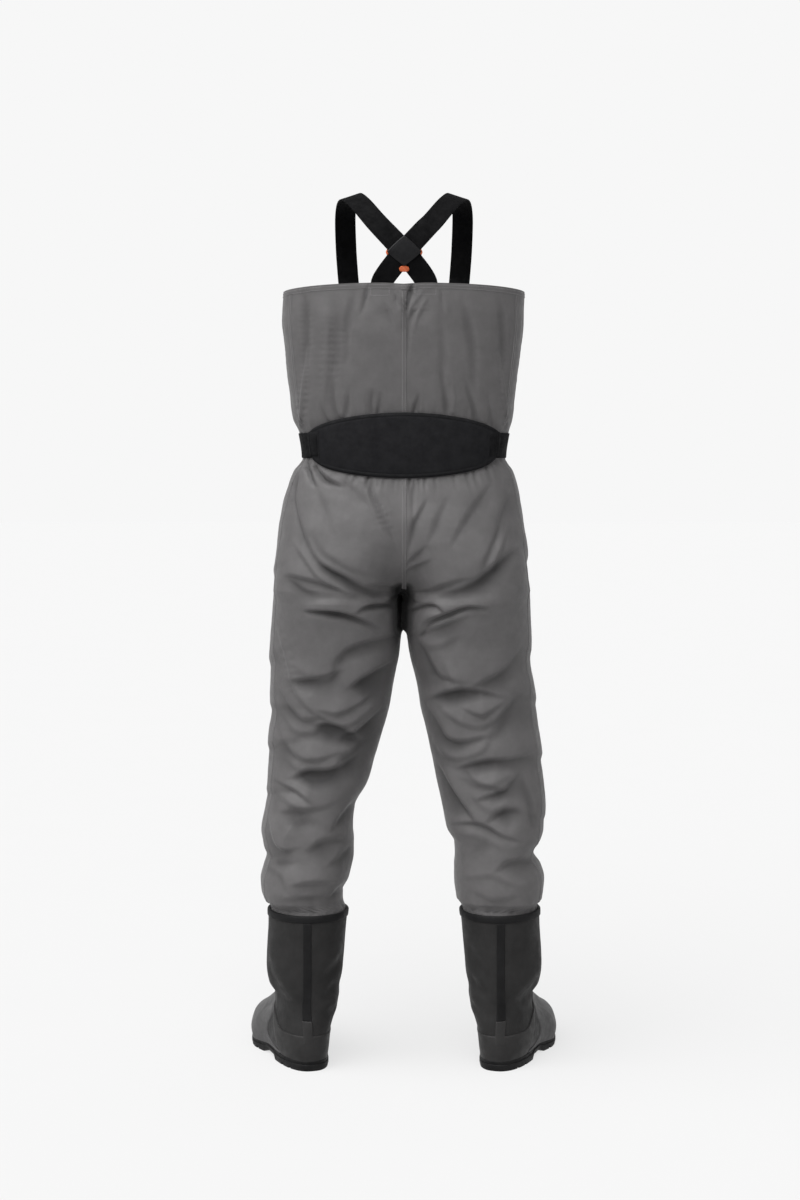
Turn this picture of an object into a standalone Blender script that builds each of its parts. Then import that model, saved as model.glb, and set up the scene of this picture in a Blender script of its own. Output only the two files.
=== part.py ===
"""Chest waders with fixed boots, in the form they take when worn and standing.

Metres, +Z up, toes towards +Y, wearer's right at +X. The origin ends up on the floor, in the middle of
the object's outline. Each piece that a maker joins is one object: the hollow shell of bib, seat and
legs, two boots of several pieces each, the waist belt with its back pad, and the crossed braces.
"""

import math
from collections import namedtuple
from functools import lru_cache

import bmesh
import bpy
import numpy as np
from mathutils import Matrix, Vector

# Clearances and walls
GAP = 0.0003
SLEEVE_GAP = 0.0005
SHELL_WALL = 0.0014
BOOT_WALL = 0.0035

# Rings: points round the body, along the crotch between the legs, and round a leg or a boot
TORSO_POINTS = 32
CROTCH_POINTS = 7
RING_POINTS = TORSO_POINTS // 2 + 1 + CROTCH_POINTS
RING_STEP = 2 * math.pi / RING_POINTS

# Shell: heights of the bib's edge, depth of the dip at the fork, roundness of the sections
BIB_TOP_BACK = 1.398
BIB_TOP_SIDE = 1.390
BIB_TOP_FRONT = 1.402
FORK_SAG = 0.010
CLEFT_WIDTH = 0.050
LEG_POWER = 2.2

Torso = namedtuple("Torso", "height left right back front power cleft")
TORSO_SECTIONS = [
    Torso(1.392, 0.2145, 0.2144, 0.118, 0.118, 2.5, 0.00),
    Torso(1.345, 0.2180, 0.2140, 0.121, 0.121, 2.5, 0.00),
    Torso(1.205, 0.2042, 0.1990, 0.114, 0.125, 2.5, 0.00),
    Torso(1.165, 0.1985, 0.1940, 0.107, 0.124, 2.5, 0.00),
    Torso(1.140, 0.1870, 0.1870, 0.101, 0.119, 2.5, 0.00),
    Torso(1.096, 0.1810, 0.1810, 0.099, 0.117, 2.5, 0.00),
    Torso(1.072, 0.1985, 0.1955, 0.107, 0.123, 2.5, 0.00),
    Torso(1.020, 0.2165, 0.2100, 0.124, 0.125, 2.5, 0.02),
    Torso(0.965, 0.2262, 0.2172, 0.138, 0.122, 2.6, 0.06),
    Torso(0.915, 0.2310, 0.2225, 0.142, 0.117, 2.9, 0.20),
    Torso(0.860, 0.2357, 0.2258, 0.134, 0.111, 3.4, 0.55),
]
BELT_TOP = TORSO_SECTIONS[4]
BELT_BOTTOM = TORSO_SECTIONS[5]

# Legs, as distances to the left and right of the middle and behind and in front of the ankle
Leg = namedtuple("Leg", "height left_outer left_inner right_inner right_outer back front")
LEG_SECTIONS = [
    Leg(0.842, 0.2362, 0.0060, 0.0060, 0.2272, 0.130, 0.109),
    Leg(0.770, 0.2407, 0.0062, 0.0062, 0.2300, 0.111, 0.104),
    Leg(0.715, 0.2428, 0.0140, 0.0170, 0.2315, 0.103, 0.101),
    Leg(0.590, 0.2455, 0.0430, 0.0440, 0.2462, 0.091, 0.096),
    Leg(0.535, 0.2474, 0.0590, 0.0555, 0.2530, 0.087, 0.094),
    Leg(0.480, 0.2515, 0.0850, 0.0670, 0.2565, 0.085, 0.089),
    Leg(0.425, 0.2587, 0.0930, 0.0785, 0.2534, 0.088, 0.083),
    Leg(0.380, 0.2517, 0.0911, 0.0931, 0.2380, 0.088, 0.077),
    Leg(0.338, 0.2608, 0.1000, 0.0914, 0.2555, 0.093, 0.077),
    Leg(0.306, 0.2585, 0.1113, 0.0938, 0.2530, 0.090, 0.073),
]
LEG_SPREAD_START = math.radians(66)
LEG_SPREAD_END = 2 * RING_STEP
LEG_EASE_START = 2.3
LEG_SPREAD_ROWS = 3
CUFF_RISE = 0.004

# Boots: place and turn-out of the feet, and slices of the last from the sole's edge to the collar; lean
# sets the foot outwards from the shaft
BOOT_X = 0.178
TURN_OUT = math.radians(19)
HEEL_SHARE = 0.17
WAIST_SHARE = 0.42
BALL_SHARE = 0.68
TOE_SWAY = 0.009
SWAY_START = 0.080
SWAY_LENGTH = 0.125

Slice = namedtuple("Slice", "back_y back_z front_y front_z heel waist ball power follow lean")
BOOT_SLICES = [
    Slice(-0.0880, 0.0183, 0.2040, 0.0228, 0.0470, 0.0455, 0.0595, 2.5, 1.0, 0.0137),
    Slice(-0.0905, 0.0340, 0.2065, 0.0400, 0.0505, 0.0485, 0.0612, 2.5, 1.0, 0.0147),
    Slice(-0.0915, 0.0520, 0.2000, 0.0580, 0.0520, 0.0495, 0.0585, 2.4, 0.6, 0.0137),
    Slice(-0.0910, 0.0700, 0.1670, 0.0740, 0.0525, 0.0505, 0.0515, 2.3, 0.3, 0.0107),
    Slice(-0.0900, 0.0860, 0.1400, 0.0880, 0.0530, 0.0520, 0.0450, 2.2, 0.0, 0.0064),
    Slice(-0.0885, 0.1020, 0.1100, 0.1050, 0.0545, 0.0550, 0.0460, 2.1, 0.0, 0.0020),
    Slice(-0.0875, 0.1190, 0.0880, 0.1270, 0.0565, 0.0575, 0.0525, 2.0, 0.0, 0.0015),
    Slice(-0.0870, 0.1420, 0.0730, 0.1500, 0.0625, 0.0645, 0.0625, 2.0, 0.0, 0.0075),
    Slice(-0.0875, 0.1750, 0.0670, 0.1790, 0.0685, 0.0695, 0.0685, 2.0, 0.0, 0.0070),
    Slice(-0.0890, 0.2500, 0.0665, 0.2500, 0.0700, 0.0702, 0.0700, 2.0, 0.0, 0.0020),
    Slice(-0.0900, 0.2800, 0.0675, 0.2800, 0.0715, 0.0715, 0.0715, 2.0, 0.0, 0.0000),
]
FEATHER = BOOT_SLICES[0]
CUFF_SLICE = BOOT_SLICES[-2]
COLLAR = BOOT_SLICES[-1]
FOOT_LENGTH = FEATHER.front_y - FEATHER.back_y

# Outsole: heights along the foot, grooves between the lugs, and the stepped edge
Sole = namedtuple("Sole", "share bottom top")
SOLE_PROFILE = [
    Sole(0.00, 0.000, 0.0180),
    Sole(0.31, 0.000, 0.0190),
    Sole(0.33, 0.008, 0.0195),
    Sole(0.45, 0.008, 0.0190),
    Sole(0.51, 0.000, 0.0175),
    Sole(0.78, 0.000, 0.0125),
    Sole(0.90, 0.004, 0.0150),
    Sole(1.00, 0.012, 0.0225),
]
TREAD = 0.0045
GROOVE_DEPTH = 0.0040
GROOVE_WALL = 0.0008
Grooves = namedtuple("Grooves", "first pitch count width")
HEEL_GROOVES = Grooves(0.028, 0.024, 2, 0.005)
FOREFOOT_GROOVES = Grooves(0.168, 0.020, 5, 0.006)
Edge = namedtuple("Edge", "share outset")
SOLE_EDGE = [
    Edge(0.00, 0.0030),
    Edge(0.50, 0.0030),
    Edge(0.55, 0.0016),
    Edge(1.00, 0.0022),
]
TREAD_INSET = 0.0010
INSOLE_THICK = 0.004
INSOLE_CLEAR = 0.0007

# Boot overlays: rubber toe cap, heel counter with its tab, back strip and collar binding; tab and strip
# lie on the line that faces straight back
OVERLAY_GAP = 0.0004
RUBBER_THICK = 0.0016
STRIP_THICK = 0.0012
RimPoint = namedtuple("RimPoint", "y z")
TOE_CAP_RIM = [
    RimPoint(-0.036, 0.000),
    RimPoint(-0.022, 0.020),
    RimPoint(0.004, 0.025),
    RimPoint(0.026, 0.032),
    RimPoint(0.037, 0.039),
    RimPoint(0.040, 0.046),
    RimPoint(0.038, 0.054),
    RimPoint(0.033, 0.062),
    RimPoint(0.026, 0.071),
    RimPoint(0.022, 0.080),
    RimPoint(0.026, 0.090),
    RimPoint(0.034, 0.100),
    RimPoint(0.052, 0.112),
    RimPoint(0.086, 0.124),
]
COUNTER_RIM = [
    RimPoint(-0.040, 0.000),
    RimPoint(0.038, 0.114),
]
COUNTER_HEEL_Z = 0.064
COUNTER_FRONT_Z = 0.112
COUNTER_SWEEP_START = -0.045
COUNTER_SWEEP_LENGTH = 0.105
TAB_HALF = 0.0080
TAB_TOP = 0.0900
BACK_LINE = 0.0236
STRIP_HALF = 0.0070
STRIP_FIRST_ROW = 3
STRIP_BOTTOM = 0.0915
STRIP_TOP = 0.2655
BINDING_DEPTH = 0.0120
BINDING_THICK = 0.0015
CUTTER_REACH = 0.30
SWEEP_CELLS = 8
OVERLAY_TOP_ROW = 7

# Belt: webbing round the waist, its lapped front end, and the lens-shaped back pad
WEBBING_THICK = 0.0022
LAP_POINTS = 4
PAD_COLUMNS = 4
PAD_END_INDEX = 4.9
PAD_MID_HALF = 0.057
PAD_END_HALF = 0.025
PAD_ROWS = 4
PAD_THICK = 0.006
PAD_EDGE_THICK = 0.0026

# Braces: route over one shoulder, from the back of the bib to its front; x is positive on that shoulder
BRACE_WIDTH = 0.038
BRACE_THICK = 0.0018
BRACE_STATIONS = 28
BRACE_CELLS = 4
BACK_SAMPLES = 400
BACK_LIMIT = -0.02
BACK_STEP = 0.003
LIFT_REACH = 0.038
LIFT_CLEAR = 0.0007
LIFT_FADE = 0.016
Route = namedtuple("Route", "x y z normal_x normal_y normal_z")
BRACE_ROUTE = [
    Route(-0.0385, -0.1161, 1.358, -0.03, -1.00, 0.00),
    Route(-0.0382, -0.1145, 1.382, -0.03, -1.00, 0.00),
    Route(-0.0360, -0.1122, 1.405, 0.00, -1.00, 0.02),
    Route(0.0000, -0.1215, 1.451, 0.00, -1.00, 0.12),
    Route(0.0470, -0.1110, 1.502, 0.05, -0.90, 0.45),
    Route(0.0800, -0.0720, 1.543, 0.22, -0.50, 0.85),
    Route(0.0980, -0.0100, 1.558, 0.32, 0.00, 0.95),
    Route(0.1060, 0.0570, 1.536, 0.24, 0.58, 0.78),
    Route(0.1060, 0.0970, 1.480, 0.12, 0.94, 0.32),
    Route(0.1030, 0.1080, 1.432, 0.12, 1.00, 0.05),
    Route(0.1005, 0.1058, 1.405, 0.19, 0.98, 0.00),
    Route(0.0990, 0.1076, 1.382, 0.20, 0.98, 0.00),
    Route(0.0985, 0.1092, 1.358, 0.20, 0.98, 0.00),
]
CROSSING = BRACE_ROUTE[3]
PATCH_HALF_WIDTH = 0.0300
PATCH_HALF_HEIGHT = 0.0260
PATCH_THICK = 0.0022
BACKING_GROW = 1.16
PATCH_CELLS = 4
PATCH_CLEAR = 0.0010
PATCH_CORNER = 1.35

# Colours of the materials: red, green, blue, roughness
Finish = namedtuple("Finish", "red green blue roughness")
FINISHES = {
    "shell_fabric": Finish(0.125, 0.123, 0.125, 0.55),
    "neoprene": Finish(0.030, 0.030, 0.031, 0.75),
    "boot_rubber": Finish(0.042, 0.041, 0.041, 0.55),
    "toe_rubber": Finish(0.090, 0.089, 0.092, 0.50),
    "sole_rubber": Finish(0.012, 0.012, 0.013, 0.60),
    "black_webbing": Finish(0.010, 0.010, 0.011, 0.85),
    "pad_neoprene": Finish(0.014, 0.014, 0.016, 0.80),
    "patch_leather": Finish(0.016, 0.016, 0.018, 0.55),
    "tan_leather": Finish(0.480, 0.110, 0.040, 0.60),
    "insole_felt": Finish(0.060, 0.060, 0.062, 0.95),
}


def smooth(value):
    """Eases from 0 to 1 as value goes from 0 to 1."""
    value = min(1.0, max(0.0, value))
    return value * value * (3 - 2 * value)


def eased(value, places, heights):
    """The height at a place between the listed ones, with a level start and end to each span."""
    for i in range(len(places) - 1):
        if value <= places[i + 1]:
            share = (value - places[i]) / (places[i + 1] - places[i])
            return heights[i] + (heights[i + 1] - heights[i]) * smooth(share)
    return heights[-1]


def rounded(angle, power):
    """Unit outline: angle 0 is the back, a quarter turn the outer side, half a turn the front."""
    side, fore = math.sin(angle), -math.cos(angle)
    reach = (abs(side) ** power + abs(fore) ** power) ** (-1 / power)
    return side * reach, fore * reach


def outset_ring(ring, distance):
    """The ring of points moved outwards by distance, level by level, in plan."""
    moved = []
    for i, point in enumerate(ring):
        along = ring[(i + 1) % len(ring)] - ring[i - 1]
        normal = Vector((along.y, -along.x, 0)).normalized()
        moved.append(point + normal * distance)
    return moved


def material(name):
    finish = FINISHES[name]
    made = bpy.data.materials.get(name) or bpy.data.materials.new(name)
    made.use_nodes = True
    shader = made.node_tree.nodes["Principled BSDF"]
    shader.inputs["Base Color"].default_value = (finish.red, finish.green, finish.blue, 1)
    shader.inputs["Roughness"].default_value = finish.roughness
    shader.inputs["Metallic"].default_value = 0.0
    return made


def new_object(name, points, faces, finish, parent):
    """A mesh object with its faces turned outwards, in its own material."""
    built = bmesh.new()
    corners = [built.verts.new(point) for point in points]
    for face in faces:
        built.faces.new([corners[i] for i in face])
    bmesh.ops.recalc_face_normals(built, faces=built.faces)
    mesh = bpy.data.meshes.new(name)
    built.to_mesh(mesh)
    built.free()
    mesh.shade_smooth()
    mesh.set_sharp_from_angle(angle=math.radians(40))
    made = bpy.data.objects.new(name, mesh)
    bpy.context.scene.collection.objects.link(made)
    mesh.materials.append(material(finish))
    made.parent = parent
    return made


def frame_empty(name, location, turn, parent):
    empty = bpy.data.objects.new(name, None)
    bpy.context.scene.collection.objects.link(empty)
    empty.location = location
    empty.rotation_euler = (0, 0, turn)
    empty.parent = parent
    return empty


def cutter_of(made):
    made.hide_render = True
    made.display_type = "WIRE"
    return made


def boolean(made, operation, other):
    modifier = made.modifiers.new(operation.lower(), "BOOLEAN")
    modifier.operation = operation
    modifier.object = other


def solidify(made, wall):
    modifier = made.modifiers.new("wall", "SOLIDIFY")
    modifier.thickness = wall
    modifier.offset = -1


def strip_faces(lower, upper, closed=True):
    """Triangles between two runs of point numbers, all cut along the same diagonal."""
    count = len(lower)
    faces = []
    for i in range(count if closed else count - 1):
        a, b = lower[i], lower[(i + 1) % count]
        c, d = upper[(i + 1) % count], upper[i]
        faces += [(a, b, c), (a, c, d)]
    return faces


def tube_of(rings):
    """Points and faces of a surface through rings of equal length."""
    count = len(rings[0])
    points = [point for ring in rings for point in ring]
    faces = []
    for level in range(len(rings) - 1):
        lower = list(range(level * count, (level + 1) * count))
        upper = list(range((level + 1) * count, (level + 2) * count))
        faces += strip_faces(lower, upper)
    return points, faces


def layer_of(inner, outer):
    """A solid layer between two skins with the same rings, closed along both rims."""
    points, faces = tube_of(inner)
    offset = len(points)
    outside, outside_faces = tube_of(outer)
    faces += [tuple(number + offset for number in face) for face in outside_faces]
    count = len(inner[0])
    for first in (0, offset - count):
        rim = list(range(first, first + count))
        faces += strip_faces(rim, [number + offset for number in rim])
    return points + outside, faces


def plate_of(near, far, columns):
    """A solid plate between two skins of points, both listed column by column."""
    offset = len(near)
    rows = offset // columns
    faces = []
    for first in (0, offset):
        for column in range(columns - 1):
            here = [first + column * rows + row for row in range(rows)]
            faces += strip_faces(here, [number + rows for number in here], closed=False)
    last = offset - rows
    edge = list(range(rows)) + list(range(2 * rows - 1, offset, rows))
    edge += list(range(offset - 2, last - 1, -1)) + list(range(last - rows, 0, -rows))
    faces += strip_faces(edge, [number + offset for number in edge])
    return near + far, faces


# Shell of bib, seat and legs


def torso_ring(section):
    ring = []
    for i in range(TORSO_POINTS):
        side, fore = rounded(2 * math.pi * i / TORSO_POINTS, section.power)
        x = side * (section.right if side > 0 else section.left)
        y = fore * (section.front if fore > 0 else section.back)
        y *= 1 - section.cleft * math.exp(-((x / CLEFT_WIDTH) ** 2))
        ring.append(Vector((x, y, section.height)))
    return ring


def bib_edge_ring():
    """The top section, raised at the back and the front as the bib is cut."""
    ring = torso_ring(TORSO_SECTIONS[0])
    for point in ring:
        section = TORSO_SECTIONS[0]
        end = BIB_TOP_FRONT if point.y > 0 else BIB_TOP_BACK
        reach = point.y / (section.front if point.y > 0 else section.back)
        point.z = BIB_TOP_SIDE + (end - BIB_TOP_SIDE) * reach**2
    return ring


def torso_rings():
    return [bib_edge_ring()] + [torso_ring(section) for section in TORSO_SECTIONS[1:]]


def leg_angles(share):
    """Angles round a leg, gathered at the fork like the seat's points above it, then evenly spread."""
    spread = LEG_SPREAD_START + (LEG_SPREAD_END - LEG_SPREAD_START) * share
    ease = LEG_EASE_START + (1 - LEG_EASE_START) * share
    outer = []
    for i in range(TORSO_POINTS // 2 + 1):
        turn = 4 * i / TORSO_POINTS - 1
        lean = math.copysign(abs(turn) ** ease, turn) * spread
        outer.append(math.pi / 2 * (1 + turn) + lean)
    inner_step = (math.pi - 2 * spread) / (CROTCH_POINTS + 1)
    inner = [math.pi + spread + (i + 1) * inner_step for i in range(CROTCH_POINTS)]
    return outer + inner


def leg_ring(section, side, share):
    if side > 0:
        inner, outer = section.right_inner, section.right_outer
    else:
        inner, outer = section.left_inner, section.left_outer
    middle, half = (inner + outer) / 2, (outer - inner) / 2
    ring = []
    for angle in leg_angles(share):
        across, fore = rounded(angle, LEG_POWER)
        y = fore * (section.front if fore > 0 else section.back)
        ring.append(Vector((side * (middle + across * half), y, section.height)))
    return ring


def cuff_rings(side):
    """The end of a leg inside its boot: the boot's own rings, in by its wall and a clearance."""
    rings = []
    for boot_slice, rise in ((COLLAR, CUFF_RISE), (CUFF_SLICE, GAP)):
        inside = outset_ring(boot_ring(boot_slice), -BOOT_WALL - SLEEVE_GAP)
        turned = [boot_matrix(side) @ mirrored(point, side) for point in inside]
        first = RING_POINTS - round(LEG_SPREAD_END / RING_STEP)
        lifted = Vector((0, 0, rise))
        rings.append([turned[(first + i) % RING_POINTS] + lifted for i in range(RING_POINTS)])
    return rings


def leg_rings(side):
    rings = []
    for row, section in enumerate(LEG_SECTIONS):
        rings.append(leg_ring(section, side, smooth(row / LEG_SPREAD_ROWS)))
    return rings + cuff_rings(side)


def build_shell(parent):
    body = torso_rings()
    points, faces = tube_of(body)
    seat = list(range(len(points) - TORSO_POINTS, len(points)))
    front_middle = points[seat[TORSO_POINTS // 2]]
    back_middle = points[seat[0]]
    crotch = list(range(len(points), len(points) + CROTCH_POINTS))
    for i in range(CROTCH_POINTS):
        share = (i + 1) / (CROTCH_POINTS + 1)
        point = front_middle.lerp(back_middle, share)
        point.z -= FORK_SAG * math.sin(math.pi * share)
        points.append(point)
    for side in (1, -1):
        above = [seat[(side * i) % TORSO_POINTS] for i in range(TORSO_POINTS // 2 + 1)] + crotch
        for ring in leg_rings(side):
            below = list(range(len(points), len(points) + RING_POINTS))
            points += ring
            faces += strip_faces(above, below)
            above = below
    shell = new_object("wader_shell", points, faces, "shell_fabric", parent)
    solidify(shell, SHELL_WALL)


# Boots


def mirrored(point, side):
    return Vector((point.x * side, point.y, point.z))


def boot_matrix(side):
    place = Matrix.Translation((side * BOOT_X, 0, 0))
    return place @ Matrix.Rotation(-side * TURN_OUT, 4, "Z")


def sole_height(share, part):
    shares = [row.share for row in SOLE_PROFILE]
    return float(np.interp(share, shares, [getattr(row, part) for row in SOLE_PROFILE]))


def shared_shares():
    """Places along the foot where the upper's lowest edge has its points."""
    angles = [i * RING_STEP for i in range(RING_POINTS // 2 + 1)]
    return [(1 + rounded(angle, FEATHER.power)[1]) / 2 for angle in angles]


def sole_top(share):
    places = shared_shares()
    return float(np.interp(share, places, [sole_height(place, "top") for place in places]))


def sway(y):
    """How far the toes lean to the inner side of the foot."""
    return -TOE_SWAY * smooth((y - SWAY_START) / SWAY_LENGTH)


def boot_point(boot_slice, angle):
    """A point of the right boot's outside, with the outer side of the foot at +X."""
    across, fore = rounded(angle, boot_slice.power)
    share = (1 + fore) / 2
    widths = (boot_slice.heel, boot_slice.waist, boot_slice.ball)
    half = eased(max(share, HEEL_SHARE), (HEEL_SHARE, WAIST_SHARE, BALL_SHARE), widths)
    y = boot_slice.back_y + (boot_slice.front_y - boot_slice.back_y) * share
    level = boot_slice.back_z + (boot_slice.front_z - boot_slice.back_z) * share
    straight = sole_top(0) + (sole_top(1) - sole_top(0)) * share
    z = level + boot_slice.follow * (sole_top(share) - straight)
    return Vector((boot_slice.lean + sway(y) + across * half, y, z))


def boot_ring(boot_slice):
    return [boot_point(boot_slice, i * RING_STEP) for i in range(RING_POINTS)]


def boot_object(name, points, faces, finish, frame, side):
    placed = [mirrored(point, side) for point in points]
    return new_object(name, placed, faces, finish, frame)


def build_upper(name, frame, side):
    points, faces = tube_of([boot_ring(boot_slice) for boot_slice in BOOT_SLICES])
    upper = boot_object(name, points, faces, "neoprene", frame, side)
    solidify(upper, BOOT_WALL)


def groove_edges():
    """(start, end) of each groove across the sole, in metres from the back of the heel."""
    return [
        (row.first + i * row.pitch, row.first + i * row.pitch + row.width)
        for row in (HEEL_GROOVES, FOREFOOT_GROOVES)
        for i in range(row.count)
    ]


def sole_stations():
    """(share along the foot, height of the tread there) from the heel to the toe."""
    stations = [(share, sole_height(share, "bottom")) for share in shared_shares()]
    stations += [(row.share, row.bottom) for row in SOLE_PROFILE]
    for start, end in groove_edges():
        middle = [(place, depth) for place, depth in stations if not start < place * FOOT_LENGTH < end]
        walls = ((start, 0), (start + GROOVE_WALL, 1), (end - GROOVE_WALL, 1), (end, 0))
        for place, deep in walls:
            share = place / FOOT_LENGTH
            middle.append((share, sole_height(share, "bottom") + deep * GROOVE_DEPTH))
        stations = middle
    return sorted(set(stations))


def share_angle(share):
    """The angle of the feather line's point at a share of the foot's length."""
    fore = 2 * share - 1
    side = max(0.0, 1 - abs(fore) ** FEATHER.power) ** (1 / FEATHER.power)
    return math.atan2(side, -fore)


def sole_ring(stations, outset, height):
    """A ring round the sole through all the stations; height gives z from a station."""
    outer = [(share_angle(share), (share, tread)) for share, tread in stations]
    inner = [(2 * math.pi - angle, station) for angle, station in reversed(outer[1:-1])]
    ring = []
    for angle, station in outer + inner:
        point = boot_point(FEATHER, angle)
        ring.append(Vector((point.x, point.y, height(*station))))
    return outset_ring(ring, outset)


def ladder_faces(ring):
    """Faces across a ring that runs out along one side and back along the other."""
    half = len(ring) // 2
    left = [ring[i] for i in range(half + 1)]
    right = [ring[-i % len(ring)] for i in range(half + 1)]
    faces = [(left[0], left[1], right[1])]
    faces += [(left[i], left[i + 1], right[i + 1], right[i]) for i in range(1, half - 1)]
    return faces + [(left[half - 1], left[half], right[half - 1])]


def stacked_solid(rings):
    """A solid closed by ladders across its first and last rings."""
    points, faces = tube_of(rings)
    count = len(rings[0])
    first = list(range(count))
    last = list(range(len(points) - count, len(points)))
    return points, faces + ladder_faces(first) + ladder_faces(last)


def build_outsole(name, frame, side):
    stations = sole_stations()

    def side_height(edge_share):
        def height(share, tread):
            low = sole_height(share, "bottom") + TREAD
            return low + (sole_top(share) - low) * edge_share

        return height

    rings = [sole_ring(stations, SOLE_EDGE[0].outset - TREAD_INSET, lambda share, tread: tread)]
    rings += [sole_ring(stations, row.outset, side_height(row.share)) for row in SOLE_EDGE]
    points, faces = stacked_solid(rings)
    boot_object(name, points, faces, "sole_rubber", frame, side)


def build_insole(name, frame, side):
    inside = outset_ring(boot_ring(FEATHER), -BOOT_WALL - INSOLE_CLEAR)
    rings = [[point + Vector((0, 0, rise)) for point in inside] for rise in (0, INSOLE_THICK)]
    points, faces = stacked_solid(rings)
    boot_object(name, points, faces, "insole_felt", frame, side)


def overlay_skins(first, last, inner, outer):
    """Two skins round the boot between two slices, both offset from the upper's own points."""
    points, faces = tube_of([boot_ring(boot_slice) for boot_slice in BOOT_SLICES])
    built = bmesh.new()
    corners = [built.verts.new(point) for point in points]
    for face in faces:
        built.faces.new([corners[i] for i in face])
    bmesh.ops.recalc_face_normals(built, faces=built.faces)
    built.normal_update()
    kept = corners[first * RING_POINTS : (last + 1) * RING_POINTS]
    skins = []
    for offset in (inner, outer):
        moved = [corner.co + corner.normal * offset for corner in kept]
        for point, corner in zip(moved[:RING_POINTS], kept):
            point.z = corner.co.z + GAP
        skins.append(moved)
    built.free()
    return [
        [skin[i : i + RING_POINTS] for i in range(0, len(skin), RING_POINTS)] for skin in skins
    ]


def overlay(name, frame, side, first, last, thick, finish, cutter):
    """A layer on the upper, cut out of a larger one by a cutter that shows its outline."""
    inner, outer = overlay_skins(first, last, OVERLAY_GAP, OVERLAY_GAP + thick)
    points, faces = layer_of(inner, outer)
    made = boot_object(name, points, faces, finish, frame, side)
    boolean(made, "INTERSECT", cutter)
    return made


def prism(name, outline, left, right, frame):
    """A cutter with the given outline seen from the side, as (y, z) pairs."""
    points = [Vector((x, y, z)) for x in (left, right) for y, z in outline]
    count = len(outline)
    low, high = list(range(count)), list(range(count, 2 * count))
    faces = strip_faces(low, high) + [tuple(low), tuple(high)]
    return cutter_of(new_object(name, points, faces, "boot_rubber", frame))


def build_toe_cap(name, frame, side):
    reach = CUTTER_REACH
    outline = TOE_CAP_RIM + [(reach, TOE_CAP_RIM[-1].z), (reach, 0)]
    cutter = prism(name + "_cutter", outline, -reach, reach, frame)
    overlay(name, frame, side, 0, OVERLAY_TOP_ROW, RUBBER_THICK, "toe_rubber", cutter)


def counter_top(y):
    """Height of the counter's upper edge, low at the heel and swept up to the instep."""
    share = (y - COUNTER_SWEEP_START) / COUNTER_SWEEP_LENGTH
    return COUNTER_HEEL_Z + (COUNTER_FRONT_Z - COUNTER_HEEL_Z) * smooth(share)


def build_heel_counter(name, frame, side):
    """Cut to the tab's height all round the heel, then swept down on both sides of the tab."""
    reach = CUTTER_REACH
    outline = COUNTER_RIM + [(0, COUNTER_RIM[-1].z), (0, TAB_TOP)]
    outline += [(-reach, TAB_TOP), (-reach, 0)]
    cutter = prism(name + "_cutter", outline, -reach, reach, frame)
    made = overlay(name, frame, side, 0, OVERLAY_TOP_ROW, RUBBER_THICK, "boot_rubber", cutter)
    above = [(-reach, COUNTER_HEEL_Z), (-reach, reach), (reach, reach), (reach, COUNTER_FRONT_Z)]
    for i in range(SWEEP_CELLS + 1):
        y = COUNTER_SWEEP_START + COUNTER_SWEEP_LENGTH * (1 - i / SWEEP_CELLS)
        above.append((y, counter_top(y)))
    line = side * BACK_LINE
    for word, left, right in (("right", line + TAB_HALF, reach), ("left", -reach, line - TAB_HALF)):
        boolean(made, "DIFFERENCE", prism(name + "_above_" + word, above, left, right, frame))


def build_back_strip(name, frame, side):
    reach = CUTTER_REACH
    outline = [(-reach, STRIP_BOTTOM), (0, STRIP_BOTTOM), (0, STRIP_TOP), (-reach, STRIP_TOP)]
    line = side * BACK_LINE
    cutter = prism(name + "_cutter", outline, line - STRIP_HALF, line + STRIP_HALF, frame)
    last = len(BOOT_SLICES) - 1
    overlay(name, frame, side, STRIP_FIRST_ROW, last, STRIP_THICK, "sole_rubber", cutter)


def build_binding(name, frame, side):
    inner, outer = overlay_skins(
        len(BOOT_SLICES) - 2, len(BOOT_SLICES) - 1, OVERLAY_GAP, OVERLAY_GAP + BINDING_THICK
    )
    share = BINDING_DEPTH / (COLLAR.back_z - CUFF_SLICE.back_z)

    def lower(skin):
        return [high.lerp(low, share) for low, high in zip(*skin)]

    points, faces = layer_of([lower(inner), inner[1]], [lower(outer), outer[1]])
    boot_object(name, points, faces, "sole_rubber", frame, side)


def build_boot(word, side, parent):
    frame = frame_empty("boot_frame_" + word, (side * BOOT_X, 0, 0), -side * TURN_OUT, parent)
    build_upper("boot_upper_" + word, frame, side)
    build_outsole("outsole_" + word, frame, side)
    build_insole("insole_" + word, frame, side)
    build_toe_cap("toe_cap_" + word, frame, side)
    build_heel_counter("heel_counter_" + word, frame, side)
    build_back_strip("back_strip_" + word, frame, side)
    build_binding("collar_binding_" + word, frame, side)


# Belt


def webbing_edge(section, distance):
    return outset_ring(torso_ring(section), distance)


def build_webbing(parent):
    skins = [
        [webbing_edge(section, distance) for section in (BELT_BOTTOM, BELT_TOP)]
        for distance in (GAP, GAP + WEBBING_THICK)
    ]
    points, faces = layer_of(*skins)
    new_object("belt_webbing", points, faces, "black_webbing", parent)


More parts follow.
